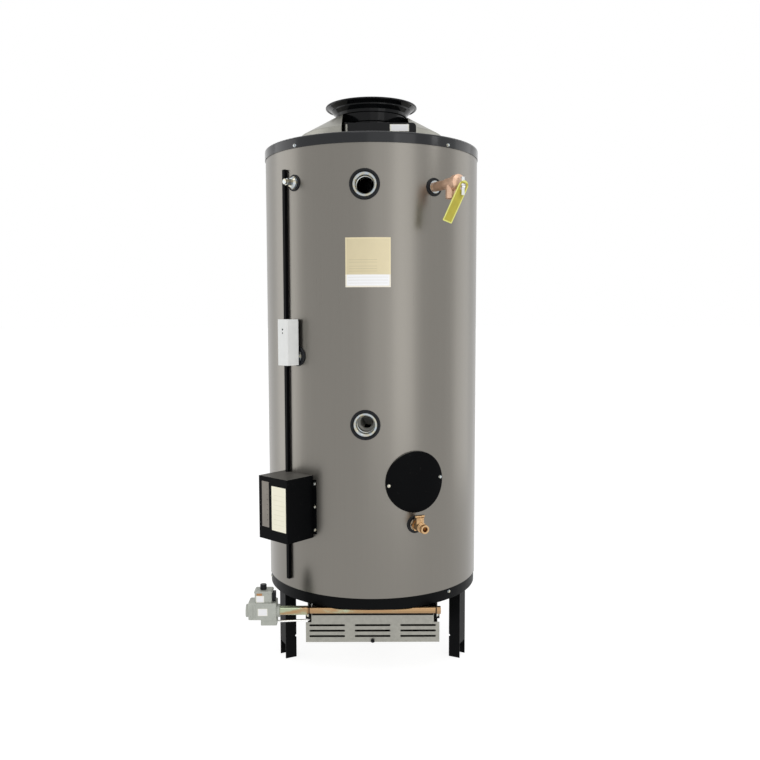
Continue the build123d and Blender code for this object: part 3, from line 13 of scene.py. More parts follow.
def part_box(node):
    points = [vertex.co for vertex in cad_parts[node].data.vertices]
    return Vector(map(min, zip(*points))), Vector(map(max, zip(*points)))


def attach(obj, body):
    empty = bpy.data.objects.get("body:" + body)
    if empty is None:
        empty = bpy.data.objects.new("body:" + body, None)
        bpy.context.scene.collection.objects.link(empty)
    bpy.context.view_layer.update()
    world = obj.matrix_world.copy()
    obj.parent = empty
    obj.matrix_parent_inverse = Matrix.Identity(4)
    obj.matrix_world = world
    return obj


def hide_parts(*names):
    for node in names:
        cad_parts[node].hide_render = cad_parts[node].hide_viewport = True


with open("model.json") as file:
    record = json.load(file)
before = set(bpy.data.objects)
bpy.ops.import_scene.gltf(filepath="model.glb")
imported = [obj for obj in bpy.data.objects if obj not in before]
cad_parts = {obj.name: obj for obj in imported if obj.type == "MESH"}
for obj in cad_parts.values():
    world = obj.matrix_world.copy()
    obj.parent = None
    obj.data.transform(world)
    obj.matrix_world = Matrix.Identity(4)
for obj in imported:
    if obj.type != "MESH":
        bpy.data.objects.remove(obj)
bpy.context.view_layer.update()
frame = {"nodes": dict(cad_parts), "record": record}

bl_info = {
    "name": "Tank Water Heater",
    "version": (1, 0, 0),
    "blender": (4, 5, 0),
    "location": "View3D > Sidebar > Heater",
    "description": "Dresses a packed water heater with its finishes and small fittings",
    "category": "Object",
}

RECORD = frame["record"]
SLOT_OF = {part["node"]: part["material_slot"] for part in RECORD["subparts"]}
BODY_OF = {node: body for body, nodes in RECORD["behaviour"]["bodies"].items() for node in nodes}
MOUNTS = {mount["name"]: mount for mount in RECORD["mounts"]}
JACKET_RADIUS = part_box("jacket")[1].x

# Thin trim, in metres.
LABEL_WALL = 0.0004
LABEL_CORNER = 0.001
PLATE_WALL = 0.0006
HOOD_WALL = 0.0021
HOOD_EDGE = 0.007
BOX_DEPTH = 0.102

# Angles from the front, in degrees.
PLATE_ANGLE = -1.76
BOX_ANGLE = -42
SEAM_ANGLE = 180
SHARP_ANGLE = 35

# Each lamp: its power among the stage's sizes, width and height, angle, distance from the axis, and height.
LAMP_AIM = 1.25
LAMPS = {
    "key_light": ("key", (1.3, 3.2), 33, 3.4, LAMP_AIM),
    "front_light": ("front", (1.9, 3.2), 12, 3.4, LAMP_AIM),
    "left_light": ("left", (2.0, 3.2), -99, 3.0, LAMP_AIM),
    "right_light": ("right", (1.6, 3.2), 109, 3.0, LAMP_AIM),
    "top_light": ("top", (2.4, 1.2), 10, 1.6, 3.8),
    "side_light": ("side", (0.45, 0.5), 66, 3.4, 2.52),
}
SENSOR_WIDTH = 36
FLOOR_RADIUS = 60
FLOOR_GLOW = 1.22
FLOOR_GLOW_SHARE = 0.7


def colour(name, text, default):
    """A colour that a user can change."""
    return FloatVectorProperty(name=name, description=text, subtype="COLOR", size=3, min=0, max=1,
                               default=default)


def length(name, text, default):
    """A size in metres that a user can change."""
    return FloatProperty(name=name, description=text, subtype="DISTANCE", unit="LENGTH", default=default,
                         precision=4)


def turn(name, text, default):
    """An angle that a user can change."""
    return FloatProperty(name=name, description=text, subtype="ANGLE", unit="ROTATION", default=default)


def watts(name, text, default):
    """A lamp's power that a user can change."""
    return FloatProperty(name=name, description=text, subtype="POWER", unit="POWER", default=default)


class HeaterColours(bpy.types.PropertyGroup):
    """Colours of the heater's finishes."""

    jacket: colour("Jacket", "Metallic paint of the jacket", (0.198, 0.187, 0.167))
    black: colour("Black", "Black enamel of the lid, hood and covers", (0.010, 0.011, 0.013))
    galvanised: colour("Galvanised", "Galvanised sheet", (0.335, 0.33, 0.295))
    zinc: colour("Zinc", "Zinc plate on ports and screws", (0.48, 0.485, 0.48))
    gold: colour("Passivate", "Yellow passivate on the gas pipe", (0.38, 0.27, 0.13))
    green: colour("Passivate tint", "Greenish tint of the passivate", (0.40, 0.45, 0.31))
    bronze: colour("Bronze", "Cast bronze of the relief valve", (0.72, 0.48, 0.34))
    copper: colour("Copper", "Copper tint on the relief valve's neck", (0.52, 0.34, 0.235))
    brass: colour("Brass", "Turned brass of the drain valve", (0.53, 0.345, 0.18))
    chrome: colour("Chrome", "Bright plate of the relief lever", (0.78, 0.80, 0.80))
    casting: colour("Casting", "Die casting of the gas valve", (0.41, 0.425, 0.385))
    aluminium: colour("Aluminium", "Bright pilot tube", (0.86, 0.86, 0.84))
    aquastat: colour("Aquastat", "Light enamel of the aquastat", (0.76, 0.77, 0.755))
    tag: colour("Tag", "Yellow tag", (0.46, 0.40, 0.045))
    tag_edge: colour("Tag edge", "Paler edge of the tag", (0.74, 0.74, 0.20))
    plate: colour("Data plate", "Cream field of the blank data plate", (0.72, 0.63, 0.41))
    paper: colour("Paper", "Blank white labels", (0.92, 0.925, 0.94))
    panel: colour("Panel", "Grey panel on the control box", (0.20, 0.18, 0.155))
    foam: colour("Foam", "Insulation", (0.74, 0.62, 0.36))


class HeaterSizes(bpy.types.PropertyGroup):
    """Sizes of the small fittings."""

    plate_width: length("Plate width", "Width of the blank data plate", 0.136)
    plate_height: length("Plate height", "Height of the blank data plate", 0.147)
    plate_middle: length("Plate middle", "Height of the data plate's middle above the floor", 1.291)
    seam_width: length("Seam width", "Width of the jacket's seam at the back", 0.016)
    seam_rise: length("Seam rise", "Rise of the jacket's seam", 0.0012)
    screw_head: length("Screw head", "Radius of a sheet screw's head", 0.0045)
    screw_washer: length("Screw washer", "Radius of a sheet screw's washer", 0.0055)
    screw_height: length("Screw height", "Height of a sheet screw's head", 0.0040)
    pipe_pitch: length("Pipe thread pitch", "Pitch of the threads in the water ports", 0.0022)
    hose_pitch: length("Hose thread pitch", "Pitch of the drain valve's hose thread", 0.0022)
    panel_dots: IntProperty(name="Panel dots", description="Dots along the control box's panel", default=7)


class HeaterStage(bpy.types.PropertyGroup):
    """Camera, floor and light."""

    camera_back: length("Camera distance", "From the tank's axis to the camera", 2.820)
    camera_height: length("Camera height", "Above the floor", 1.143)
    camera_pitch: turn("Camera pitch", "Downward tilt", radians(4.704))
    camera_roll: turn("Camera roll", "Turn about the view's axis", -0.0028)
    camera_lens: FloatProperty(name="Lens", description="Focal length on a 36 mm sensor", default=39.03)
    camera_shift: FloatProperty(name="Shift", description="Sideways shift of the frame", default=0.0106)
    fill: FloatProperty(name="Fill", description="Strength of the room's light", default=0.72)
    key: watts("Key light", "Tall soft light at the front right", 14.5)
    front: watts("Front light", "Wide soft light in front", 8.0)
    left: watts("Left light", "Tall soft light at the left", 20.0)
    right: watts("Right light", "Tall soft light at the right", 11.0)
    top: watts("Top light", "Soft light above", 12.0)
    side: watts("Side light", "Small light high at the right", 2.5)


class Flow:
    """A socket in a node tree: arithmetic adds Math nodes, and node() adds any other node."""

    def __init__(self, tree, socket=None):
        self.tree = tree
        self.socket = socket

    def node(self, kind, settings=None, inputs=None, output=0):
        """Add a node: its settings first, then the values or links of its sockets."""
        made = self.tree.nodes.new(kind)
        for name, value in (settings or {}).items():
            setattr(made, name, value)
        for key, value in (inputs or {}).items():
            for item in value if isinstance(value, list) else [value]:
                if isinstance(item, Flow):
                    self.tree.links.new(item.socket, made.inputs[key])
                else:
                    made.inputs[key].default_value = item
        return Flow(self.tree, made.outputs[output])

    def math(self, operation, *values):
        """A Math node on values."""
        return self.node("ShaderNodeMath", {"operation": operation}, dict(enumerate(values)))

    def __add__(self, other):
        return self.math("ADD", self, other)

    def __radd__(self, other):
        return self.math("ADD", other, self)

    def __sub__(self, other):
        return self.math("SUBTRACT", self, other)

    def __rsub__(self, other):
        return self.math("SUBTRACT", other, self)

    def __mul__(self, other):
        return self.math("MULTIPLY", self, other)

    def __rmul__(self, other):
        return self.math("MULTIPLY", other, self)

    def __truediv__(self, other):
        return self.math("DIVIDE", self, other)

    def above(self, limit, soft):
        """0 below the limit, 1 above it, with a soft step between."""
        return self.node("ShaderNodeMapRange", {"interpolation_type": "SMOOTHSTEP"},
                         {"Value": self, "From Min": limit - soft, "From Max": limit + soft})

    def between(self, low, high, soft):
        """1 between two limits."""
        return self.above(low, soft) * (1 - self.above(high, soft))

    def seen_white(self):
        """1 for the rays that see the white background: from the camera, off metal and through glass."""
        rays = [self.node("ShaderNodeLightPath", output=f"Is {kind} Ray")
                for kind in ("Camera", "Glossy", "Transmission")]
        return self.math("MAXIMUM", self.math("MAXIMUM", rays[0], rays[1]), rays[2])

    def blend(self, first, second):
        """A colour between two others; this value is the second one's share."""
        return self.node("ShaderNodeMix", {"data_type": "RGBA"},
                         {0: self, 6: rgba(first), 7: rgba(second)}, output=2)

    def vary(self, base, low, high):
        """A colour between two shades of one."""
        return self.blend(shade(base, low), shade(base, high))


def rgba(value):
    """A colour with its fourth number, or a link as it is."""
    return value if isinstance(value, Flow) else (*value[:3], 1)


def shade(value, factor):
    """A colour made lighter or darker."""
    return tuple(min(1, part * factor) for part in value[:3])


class Finish:
    """A material being made: its Principled shader, and the usual patterns on Object coordinates."""

    def __init__(self, name, **fixed):
        self.material = bpy.data.materials.new("finish_" + name)
        self.material.use_nodes = True
        tree = self.material.node_tree
        tree.nodes.clear()
        self.ground = Flow(tree)
        self.shader = tree.nodes.new("ShaderNodeBsdfPrincipled")
        output = tree.nodes.new("ShaderNodeOutputMaterial")
        tree.links.new(self.shader.outputs[0], output.inputs["Surface"])
        for key, value in fixed.items():
            self.shader.inputs[key.replace("_", " ")].default_value = value
        self.place = self.ground.node("ShaderNodeTexCoord", output="Object")

    def stretched(self, stretch):
        """Object coordinates with a scale of their own on each axis."""
        return self.ground.node("ShaderNodeMapping", {}, {"Vector": self.place, "Scale": stretch})

    def noise(self, scale, detail=2.0, stretch=(1, 1, 1)):
        """Smooth noise about one half; scale counts its features in a metre."""
        return self.ground.node("ShaderNodeTexNoise", {},
                                {"Vector": self.stretched(stretch), "Scale": scale, "Detail": detail})

    def cells(self, scale):
        """A grey level for each cell of a crystal pattern."""
        colour_of = self.ground.node("ShaderNodeTexVoronoi", {}, {"Vector": self.place, "Scale": scale},
                                     output="Color")
        return self.ground.node("ShaderNodeSeparateColor", {}, {0: colour_of})

    def scratches(self, scale, stretch, share):
        """Thin lines along one direction, as a share of the surface."""
        return self.noise(scale, 4.0, stretch).above(1 - share, 0.03)

    def along(self, axis):
        """Distance along one of the heater's axes."""
        return self.ground.node("ShaderNodeSeparateXYZ", {}, {0: self.place}, output=axis)

    def facing_up(self):
        """1 on faces that look upwards."""
        normal = self.ground.node("ShaderNodeNewGeometry", output="Normal")
        up = self.ground.node("ShaderNodeSeparateXYZ", {}, {0: normal}, output="Z")
        return up.above(0.75, 0.2)

    def uv(self, axis):
        """One of the piece's own surface coordinates."""
        mapped = self.ground.node("ShaderNodeTexCoord", output="UV")
        return self.ground.node("ShaderNodeSeparateXYZ", {}, {0: mapped}, output=axis)

    def rules(self, lows, thick, soft, sides, fade):
        """Level lines between two sides of the piece, at shares of its height."""
        u, v = self.uv("X"), self.uv("Y")
        return sum(v.between(low, low + thick, soft) * u.between(*sides, fade) for low in lows)

    def feed(self, socket, flow):
        """Let a value vary over the surface."""
        self.ground.tree.links.new(flow.socket, self.shader.inputs[socket])

    def paint(self, tint, roughness, height, distance, strength):
        """Let colour and roughness vary over the surface and raise it by a height value."""
        bump = self.ground.node("ShaderNodeBump", {},
                                {"Height": height, "Distance": distance, "Strength": strength})
        for socket, flow in (("Base Color", tint), ("Roughness", roughness), ("Normal", bump)):
            self.feed(socket, flow)
        return self.material


def jacket_paint(look):
    """Warm grey metallic paint: faint rolling lines, orange peel and a little dust."""
    coat = Finish("jacket_paint", Metallic=0.9, Specular_IOR_Level=0.5, Coat_Weight=0.05, Coat_Roughness=0.2)
    drift = coat.noise(2.4, 2.0, (1, 1, 0.4))
    lines = coat.noise(150, 3.0, (1, 1, 0.015))
    flake = coat.noise(2600, 1.0)
    tone = drift * 0.35 + lines * 0.35 + flake * 0.3
    return coat.paint(tone.vary(look.jacket, 0.93, 1.07),
                      0.24 + drift * 0.05 + lines * 0.05, coat.noise(700, 2.0), 0.00004, 0.25)


def black_gloss(look):
    """Gloss black enamel with orange peel, fine wipe marks and a breath of dust on top."""
    coat = Finish("black_gloss", Specular_IOR_Level=0.26, Coat_Weight=0.12, Coat_Roughness=0.06)
    wipe = coat.noise(60, 4.0, (1, 1, 0.2))
    grey_share = coat.facing_up() * coat.noise(35, 3.0).above(0.45, 0.25)
    return coat.paint((grey_share * 0.10).blend(look.black, (0.30, 0.30, 0.29)),
                      0.13 + wipe * 0.08 + grey_share * 0.20, coat.noise(420, 2.0), 0.00005, 0.18)


def hood_enamel(look):
    """Black enamel of the hood and its plate, painted darker than the lid's as painted shade, polished along
    its spinning lines.
    """
    coat = Finish("hood_enamel", Specular_IOR_Level=0.12, Coat_Weight=0.06, Coat_Roughness=0.05)
    spun = coat.noise(260, 3.0, (0.1, 0.1, 1))
    wipe = coat.noise(40, 3.0)
    # Painted shade: the same black as the lid's enamel, taken down to a quarter to a half of it.
    return coat.paint(wipe.vary(look.black, 0.25, 0.55),
                      0.07 + spun * 0.06 + wipe * 0.05, coat.noise(420, 2.0), 0.00004, 0.12)


def black_satin(look):
    """Satin black on the base, legs and brackets, rubbed grey towards the feet."""
    coat = Finish("black_satin", Specular_IOR_Level=0.06)
    rub = coat.scratches(80, (1, 1, 0.08), 0.32) * (1 - coat.along("Z").above(0.05, 0.05))
    patch = coat.noise(55, 3.0)
    return coat.paint((rub * 0.5).blend(shade(look.black, 0.25), (0.05, 0.05, 0.05)),
                      0.34 + patch * 0.14 + rub * 0.1, coat.noise(900, 2.0), 0.00006, 0.22)


def black_powder(look):
    """Fine-textured black powder coat on the covers and the raceway: upward faces painted lighter grey as
    painted light from above, with sparse specks of dust.
    """
    coat = Finish("black_powder", Specular_IOR_Level=0.035)
    patch = coat.noise(28, 3.0)
    # Painted light: every upward face is painted lighter grey, as if lit from above; the sparse specks added
    # to it are dust.
    grey_share = coat.facing_up() * (0.5 + patch * 0.6) + coat.noise(90, 4.0).above(0.70, 0.06) * 0.05
    return coat.paint((grey_share * 0.6).blend(shade(look.black, 0.2), (0.21, 0.20, 0.18)),
                      0.32 + patch * 0.16, coat.noise(1100, 3.0), 0.00010, 0.30)


def black_moulding(look):
    """Moulded black plastic with a fine sparked texture."""
    coat = Finish("black_moulding", Specular_IOR_Level=0.16)
    patch = coat.noise(120, 3.0)
    return coat.paint(patch.vary(look.black, 0.7, 1.3),
                      0.20 + patch * 0.14, coat.noise(1500, 2.0), 0.00004, 0.2)


def galvanised(look):
    """Galvanised sheet: spangle cells, rolling lines and dull patches."""
    coat = Finish("galvanised", Metallic=0.9)
    spangle = coat.cells(120)
    lines = coat.noise(300, 3.0, (0.04, 1, 1))
    dull = coat.noise(14, 4.0)
    tone = spangle * 0.45 + lines * 0.25 + dull * 0.3
    return coat.paint(tone.vary(look.galvanised, 0.82, 1.18),
                      0.30 + spangle * 0.14 + dull * 0.12, spangle + lines * 0.5, 0.00003, 0.25)


def zinc_plate(look):
    """Bright zinc with a thin blue and straw tint and turning marks."""
    coat = Finish("zinc_plate", Metallic=1.0)
    tint = coat.noise(90, 3.0)
    marks = coat.noise(900, 2.0, (1, 1, 1))
    straw = (look.zinc[0], look.zinc[1] * 0.93, look.zinc[2] * 0.74)
    blue = (look.zinc[0] * 0.88, look.zinc[1] * 0.96, look.zinc[2] * 1.04)
    return coat.paint(tint.above(0.5, 0.12).blend(blue, straw), 0.10 + marks * 0.10, marks, 0.00003, 0.25)


def passivate(look):
    """Yellow passivate on the gas pipe: gold with green and rosy bands and drawn lines."""
    coat = Finish("passivate", Metallic=1.0)
    nipple = 1 - coat.along("X").above(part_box("manifold_nipple")[1].x, 0.004)
    band = coat.noise(26, 3.0, (0.5, 1.5, 1.5)) + nipple * 0.22 - 0.10
    drawn = coat.noise(500, 3.0, (0.03, 1, 1))
    rosy = (look.gold[0] * 1.05, look.gold[1] * 0.82, look.gold[2] * 0.95)
    warm = drawn.blend(look.gold, rosy)
    return coat.paint(band.above(0.55, 0.10).blend(warm, look.green),
                      0.20 + drawn * 0.16, drawn, 0.00004, 0.3)


def tank_steel(look):
    """Mill-scaled steel of the tank, flues and burners, heat-tinted."""
    coat = Finish("tank_steel", Metallic=0.8)
    scale = coat.noise(30, 5.0)
    rust = coat.noise(11, 4.0).above(0.62, 0.08)
    steel = scale.blend((0.10, 0.10, 0.11), (0.26, 0.26, 0.27))
    return coat.paint((rust * 0.5).blend(steel, (0.20, 0.10, 0.05)),
                      0.42 + scale * 0.25 + rust * 0.2, scale, 0.0002, 0.4)


def gasket_rubber(look):
    """Black sheet rubber with a cloth-press texture."""
    coat = Finish("gasket_rubber", Specular_IOR_Level=0.3)
    press = coat.noise(700, 2.0)
    return coat.paint(press.blend((0.018, 0.018, 0.018), (0.04, 0.04, 0.04)),
                      0.62 + press * 0.2, press, 0.00012, 0.4)


def cast_rod(look):
    """Dull cast anode metal."""
    coat = Finish("cast_rod", Metallic=0.9)
    pits = coat.noise(220, 4.0)
    return coat.paint(pits.blend((0.40, 0.40, 0.40), (0.62, 0.62, 0.62)),
                      0.45 + pits * 0.2, pits, 0.0002, 0.4)


def pale_moulding(look):
    """Natural pale plastic."""
    coat = Finish("pale_moulding", Specular_IOR_Level=0.45)
    cloud = coat.noise(40, 3.0)
    return coat.paint(cloud.blend((0.70, 0.69, 0.64), (0.80, 0.79, 0.75)),
                      0.38 + cloud * 0.12, coat.noise(900, 2.0), 0.00005, 0.25)


def foam(look):
    """Open-cut insulating foam."""
    coat = Finish("foam", Specular_IOR_Level=0.15)
    bubble = coat.noise(240, 5.0)
    return coat.paint(bubble.vary(look.foam, 0.75, 1.15), 0.82 + bubble * 0.12, bubble, 0.0012, 0.6)


def aquastat_enamel(look):
    """Light grey enamel with faint press marks."""
    coat = Finish("aquastat_enamel", Specular_IOR_Level=0.5)
    cloud = coat.noise(30, 3.0)
    marks = coat.noise(500, 2.0, (1, 1, 0.1))
    return coat.paint(cloud.vary(look.aquastat, 0.95, 1.06),
                      0.30 + marks * 0.14, coat.noise(1000, 2.0), 0.00005, 0.25)


def casting(look):
    """Grey die casting with a sandy skin, flow marks and darker pits."""
    coat = Finish("casting", Metallic=0.45, Specular_IOR_Level=0.5)
    flow = coat.noise(60, 4.0)
    sand = coat.noise(900, 3.0)
    pits = coat.noise(240, 2.0).above(0.68, 0.05)
    tone = flow * 0.6 + sand * 0.4
    skin = tone.vary(look.casting, 0.80, 1.25)
    return coat.paint((pits * 0.4).blend(skin, shade(look.casting, 0.35)),
                      0.40 + sand * 0.22, sand, 0.00014, 0.45)


def drawn_aluminium(look):
    """Bright drawn tube."""
    coat = Finish("drawn_aluminium", Metallic=1.0)
    drawn = coat.noise(700, 3.0, (0.05, 1, 1))
    return coat.paint(drawn.vary(look.aluminium, 0.92, 1), 0.18 + drawn * 0.16, drawn, 0.00003, 0.3)


def cast_bronze(look):
    """Cast bronze, browner along the neck than on the body."""
    coat = Finish("cast_bronze", Metallic=0.75)
    mount = MOUNTS["relief_outlet"]["pos_m"]
    reach = Vector(mount[:2]).length
    across = coat.ground.node("ShaderNodeVectorMath", {"operation": "MULTIPLY"},
                              {0: coat.place, 1: (1, 1, 0)})
    distance = coat.ground.node("ShaderNodeVectorMath", {"operation": "LENGTH"}, {0: across}, output="Value")
    neck = 1 - distance.above(reach - 0.024, 0.006)
    sand = coat.noise(800, 3.0)
    stain = coat.noise(70, 4.0)
    body = stain.vary(look.bronze, 0.80, 1.2)
    return coat.paint(neck.blend(body, stain.vary(look.copper, 0.8, 1.5)),
                      0.34 + sand * 0.18, sand, 0.00012, 0.4)


def chrome(look):
    """Bright plate with hairline polish marks and finger smears."""
    coat = Finish("chrome", Metallic=1.0)
    polish = coat.noise(900, 2.0, (1, 1, 0.06))
    smear = coat.noise(120, 3.0)
    return coat.paint(smear.vary(look.chrome, 0.9, 1),
                      0.08 + polish * 0.08 + smear * 0.08, polish, 0.00002, 0.25)


def tag_sheet(look):
    """Stiff yellow tag with a paler edge, a little creased."""
    coat = Finish("tag_sheet", Specular_IOR_Level=0.4)
    u, v = coat.uv("X"), coat.uv("Y")
    field = u.between(0.12, 0.88, 0.02) * v.between(0.04, 0.97, 0.008)
    crease = coat.noise(55, 4.0)
    weave = coat.noise(900, 2.0)
    middle = crease.vary(look.tag, 0.78, 1.18)
    return coat.paint(field.blend(look.tag_edge, middle),
                      0.38 + crease * 0.16, crease + weave * 0.15, 0.0005, 0.4)


def turned_brass(look):
    """Turned brass with fine lathe lines and a darker stain in places."""
    coat = Finish("turned_brass", Metallic=1.0)
    stain = coat.noise(110, 4.0)
    lathe = coat.noise(1200, 2.0)
    return coat.paint(stain.vary(look.brass, 0.72, 1.22),
                      0.20 + lathe * 0.14 + stain * 0.08, lathe, 0.00005, 0.35)


def data_plate(look):
    """A blank data plate: a cream field painted lighter towards its right side as painted light, ruled lines
    left empty and a white strip below.
    """
    coat = Finish("data_plate", Specular_IOR_Level=0.45)
    u, v = coat.uv("X"), coat.uv("Y")
    cloud = coat.noise(22, 3.0)
    strip = 1 - v.above(0.255, 0.006)
    # Painted light: the cream field is graded from darker at the left to lighter at the right, as if lit from
    # the right.
    field = (u * 0.55 + cloud * 0.45).vary(look.plate, 0.86, 1.10)
    ground = strip.blend(field, look.paper)
    rules = (coat.rules((0.55, 0.50, 0.42, 0.37, 0.32), 0.006, 0.002, (0.08, 0.70), 0.004)
             + coat.rules((0.20, 0.14, 0.08), 0.005, 0.002, (0.06, 0.94), 0.004))
    frame_line = 1 - u.between(0.03, 0.97, 0.004) * v.between(0.03, 0.97, 0.004)
    inked = (rules * 0.6).blend(ground, (0.36, 0.32, 0.18))
    return coat.paint((frame_line * 0.5).blend(inked, shade(look.plate, 1.18)),
                      0.34 + cloud * 0.14, rules * -0.5 + coat.noise(600, 2.0) * 0.3, 0.00008, 0.3)


def blank_label(look):
    """A blank printed label on paper, slightly yellowed at its edge."""
    coat = Finish("blank_label", Specular_IOR_Level=0.4)
    u, v = coat.uv("X"), coat.uv("Y")
    inner = u.between(0.07, 0.93, 0.03) * v.between(0.07, 0.93, 0.03)
    cloud = coat.noise(60, 3.0)
    fibre = coat.noise(1500, 3.0)
    aged = (look.paper[0] * 0.95, look.paper[1] * 0.93, look.paper[2] * 0.82)
    return coat.paint(inner.blend(aged, cloud.vary(look.paper, 0.95, 1)),
                      0.45 + fibre * 0.15, fibre, 0.00005, 0.3)


def cream_label(look):
    """A blank cream label with empty ruled lines."""
    coat = Finish("cream_label", Specular_IOR_Level=0.4)
    cloud = coat.noise(40, 3.0)
    rules = coat.rules([0.14 + 0.11 * i for i in range(7)], 0.008, 0.003, (0.12, 0.88), 0.01)
    field = cloud.blend((0.90, 0.86, 0.66), (0.97, 0.94, 0.78))
    return coat.paint((rules * 0.3).blend(field, (0.45, 0.42, 0.25)),
                      0.40 + cloud * 0.12, coat.noise(1500, 3.0), 0.00005, 0.3)


def grey_panel(look):
    """Dull grey panel with a fine brushed grain."""
    coat = Finish("grey_panel", Metallic=0.3)
    grain = coat.noise(500, 3.0, (1, 1, 0.08))
    cloud = coat.noise(35, 3.0)
    tone = grain * 0.5 + cloud * 0.5
    return coat.paint(tone.vary(look.panel, 0.75, 1.35), 0.42 + grain * 0.14, grain, 0.00005, 0.3)


def tan_strip(look):
    """Tan fibre strip on the gas valve."""
    coat = Finish("tan_strip", Specular_IOR_Level=0.35)
    fibre = coat.noise(700, 4.0, (0.2, 1, 1))
    return coat.paint(fibre.blend((0.42, 0.19, 0.07), (0.56, 0.28, 0.11)),
                      0.5 + fibre * 0.2, fibre, 0.0001, 0.4)


FINISHES = {
    "jacket_paint": jacket_paint,
    "black_enamel": black_gloss,
    "hood_enamel": hood_enamel,
    "black_satin": black_satin,
    "black_powder": black_powder,
    "galvanised": galvanised,
    "black_plastic": black_moulding,
    "zinc_steel": zinc_plate,
    "dichromate": passivate,
    "tank_steel": tank_steel,
    "gasket_rubber": gasket_rubber,
    "anode_metal": cast_rod,
    "diffuser_plastic": pale_moulding,
    "foam": foam,
    "aquastat_paint": aquastat_enamel,
    "switch_plastic": black_moulding,
    "dial_plastic": pale_moulding,
    "valve_casting": casting,
    "pilot_aluminium": drawn_aluminium,
    "bronze": cast_bronze,
    "bright_chrome": chrome,
    "tag_plastic": tag_sheet,
    "drain_brass": turned_brass,
    "data_plate": data_plate,
    "blank_label": blank_label,
    "cream_label": cream_label,
    "grey_panel": grey_panel,
    "tan_strip": tan_strip,
}


def finish_of(name):
    """A finish by its name, made once."""
    maker = FINISHES[name]
    made = bpy.data.materials.get("finish_" + maker.__name__)
    return made or maker(bpy.context.scene.heater_colours)


def outward(angle, height, reach=JACKET_RADIUS):
    """A place on the heater's side: x to the right seen from outside, y up, z outwards."""
    x, y = sin(radians(angle)), -cos(radians(angle))
    return Matrix(((-y, 0, x, reach * x), (x, 0, y, reach * y), (0, 1, 0, height), (0, 0, 0, 1)))


def facing(place, axis):
    """A place whose z goes along an axis."""
    return Matrix.Translation(place) @ Vector(axis).to_track_quat("Z", "Y").to_matrix().to_4x4()


def upright(place):
    """A place that faces the front: x to the right, y up."""
    return Matrix.Translation(place) @ Matrix.Rotation(pi / 2, 4, "X")


def add_piece(name, mesh, finish, body="heater", stands_for=()):
    """Put a finished mesh in the scene on its body."""
    thing = bpy.data.objects.new(name, mesh)
    bpy.context.scene.collection.objects.link(thing)
    mesh.materials.clear()
    mesh.materials.append(finish_of(finish))
    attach(thing, body)
    if stands_for:
        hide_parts(*stands_for)
    return thing


def even_mesh(work, name):
    """A mesh from worked geometry, smooth but for its sharp edges, with flat areas kept flat."""
    rough = bpy.data.meshes.new(name + "_rough")
    work.to_mesh(rough)
    work.free()
    rough.shade_smooth()
    rough.set_sharp_from_angle(angle=radians(SHARP_ANGLE))
    holder = bpy.data.objects.new(name + "_holder", rough)
    bpy.context.scene.collection.objects.link(holder)
    even = holder.modifiers.new("Even", "WEIGHTED_NORMAL")
    even.keep_sharp = True
    mesh = bpy.data.meshes.new_from_object(holder.evaluated_get(bpy.context.evaluated_depsgraph_get()))
    mesh.name = name
    bpy.data.objects.remove(holder)
    bpy.data.meshes.remove(rough)
    return mesh


def add_shape(name, work, finish):
    """Put worked geometry in the scene as a piece of the heater itself."""
    return add_piece(name, even_mesh(work, name), finish)


def whole_copy(node):
    """A CAD node's triangles joined up, with flat areas made whole faces."""
    work = bmesh.new()
    work.from_mesh(frame["nodes"][node].data)
    bmesh.ops.remove_doubles(work, verts=work.verts, dist=2e-6)
    bmesh.ops.dissolve_limit(work, angle_limit=radians(0.3), verts=work.verts, edges=work.edges)
    return work


def ease_edges(work, width, steps=2):
    """Round the sharp edges by a small width."""
    edges = [edge for edge in work.edges if len(edge.link_faces) == 2
             and edge.calc_face_angle() > radians(SHARP_ANGLE)]
    bmesh.ops.bevel(work, geom=edges, offset=width, offset_type="OFFSET", segments=steps, profile=0.5,
                    affect="EDGES", clamp_overlap=True)


def refine(node, name, finish=None, ease=0.0):
    """A smooth copy of a CAD node with eased edges, which stands for it."""
    work = whole_copy(node)
    if ease:
        ease_edges(work, ease)
    mesh = even_mesh(work, name)
    return add_piece(name, mesh, finish or SLOT_OF[node], BODY_OF[node], (node,))


def solids_of(node):
    """The separate solids of a CAD node, each as an array of its points."""
    work = whole_copy(node)
    left = set(work.verts)
    found = []
    while left:
        stack = [left.pop()]
        points = []
        while stack:
            vertex = stack.pop()
            points.append(vertex.co.copy())
            for edge in vertex.link_edges:
                other = edge.other_vert(vertex)
                if other in left:
                    left.remove(other)
                    stack.append(other)
        found.append(np.array(points))
    work.free()
    return found


def seat_of(points):
    """Where a flat round solid sits: a place on its inner side, with z outwards along its axis."""
    middle = (points.min(0) + points.max(0)) / 2
    axis = np.linalg.eigh(np.cov((points - middle).T))[1][:, 0]
    away = np.array((middle[0], middle[1], 0))
    axis = axis if axis @ away > 0 else -axis
    depth = ((points - middle) @ axis).min()
    return facing(middle + axis * depth, axis)


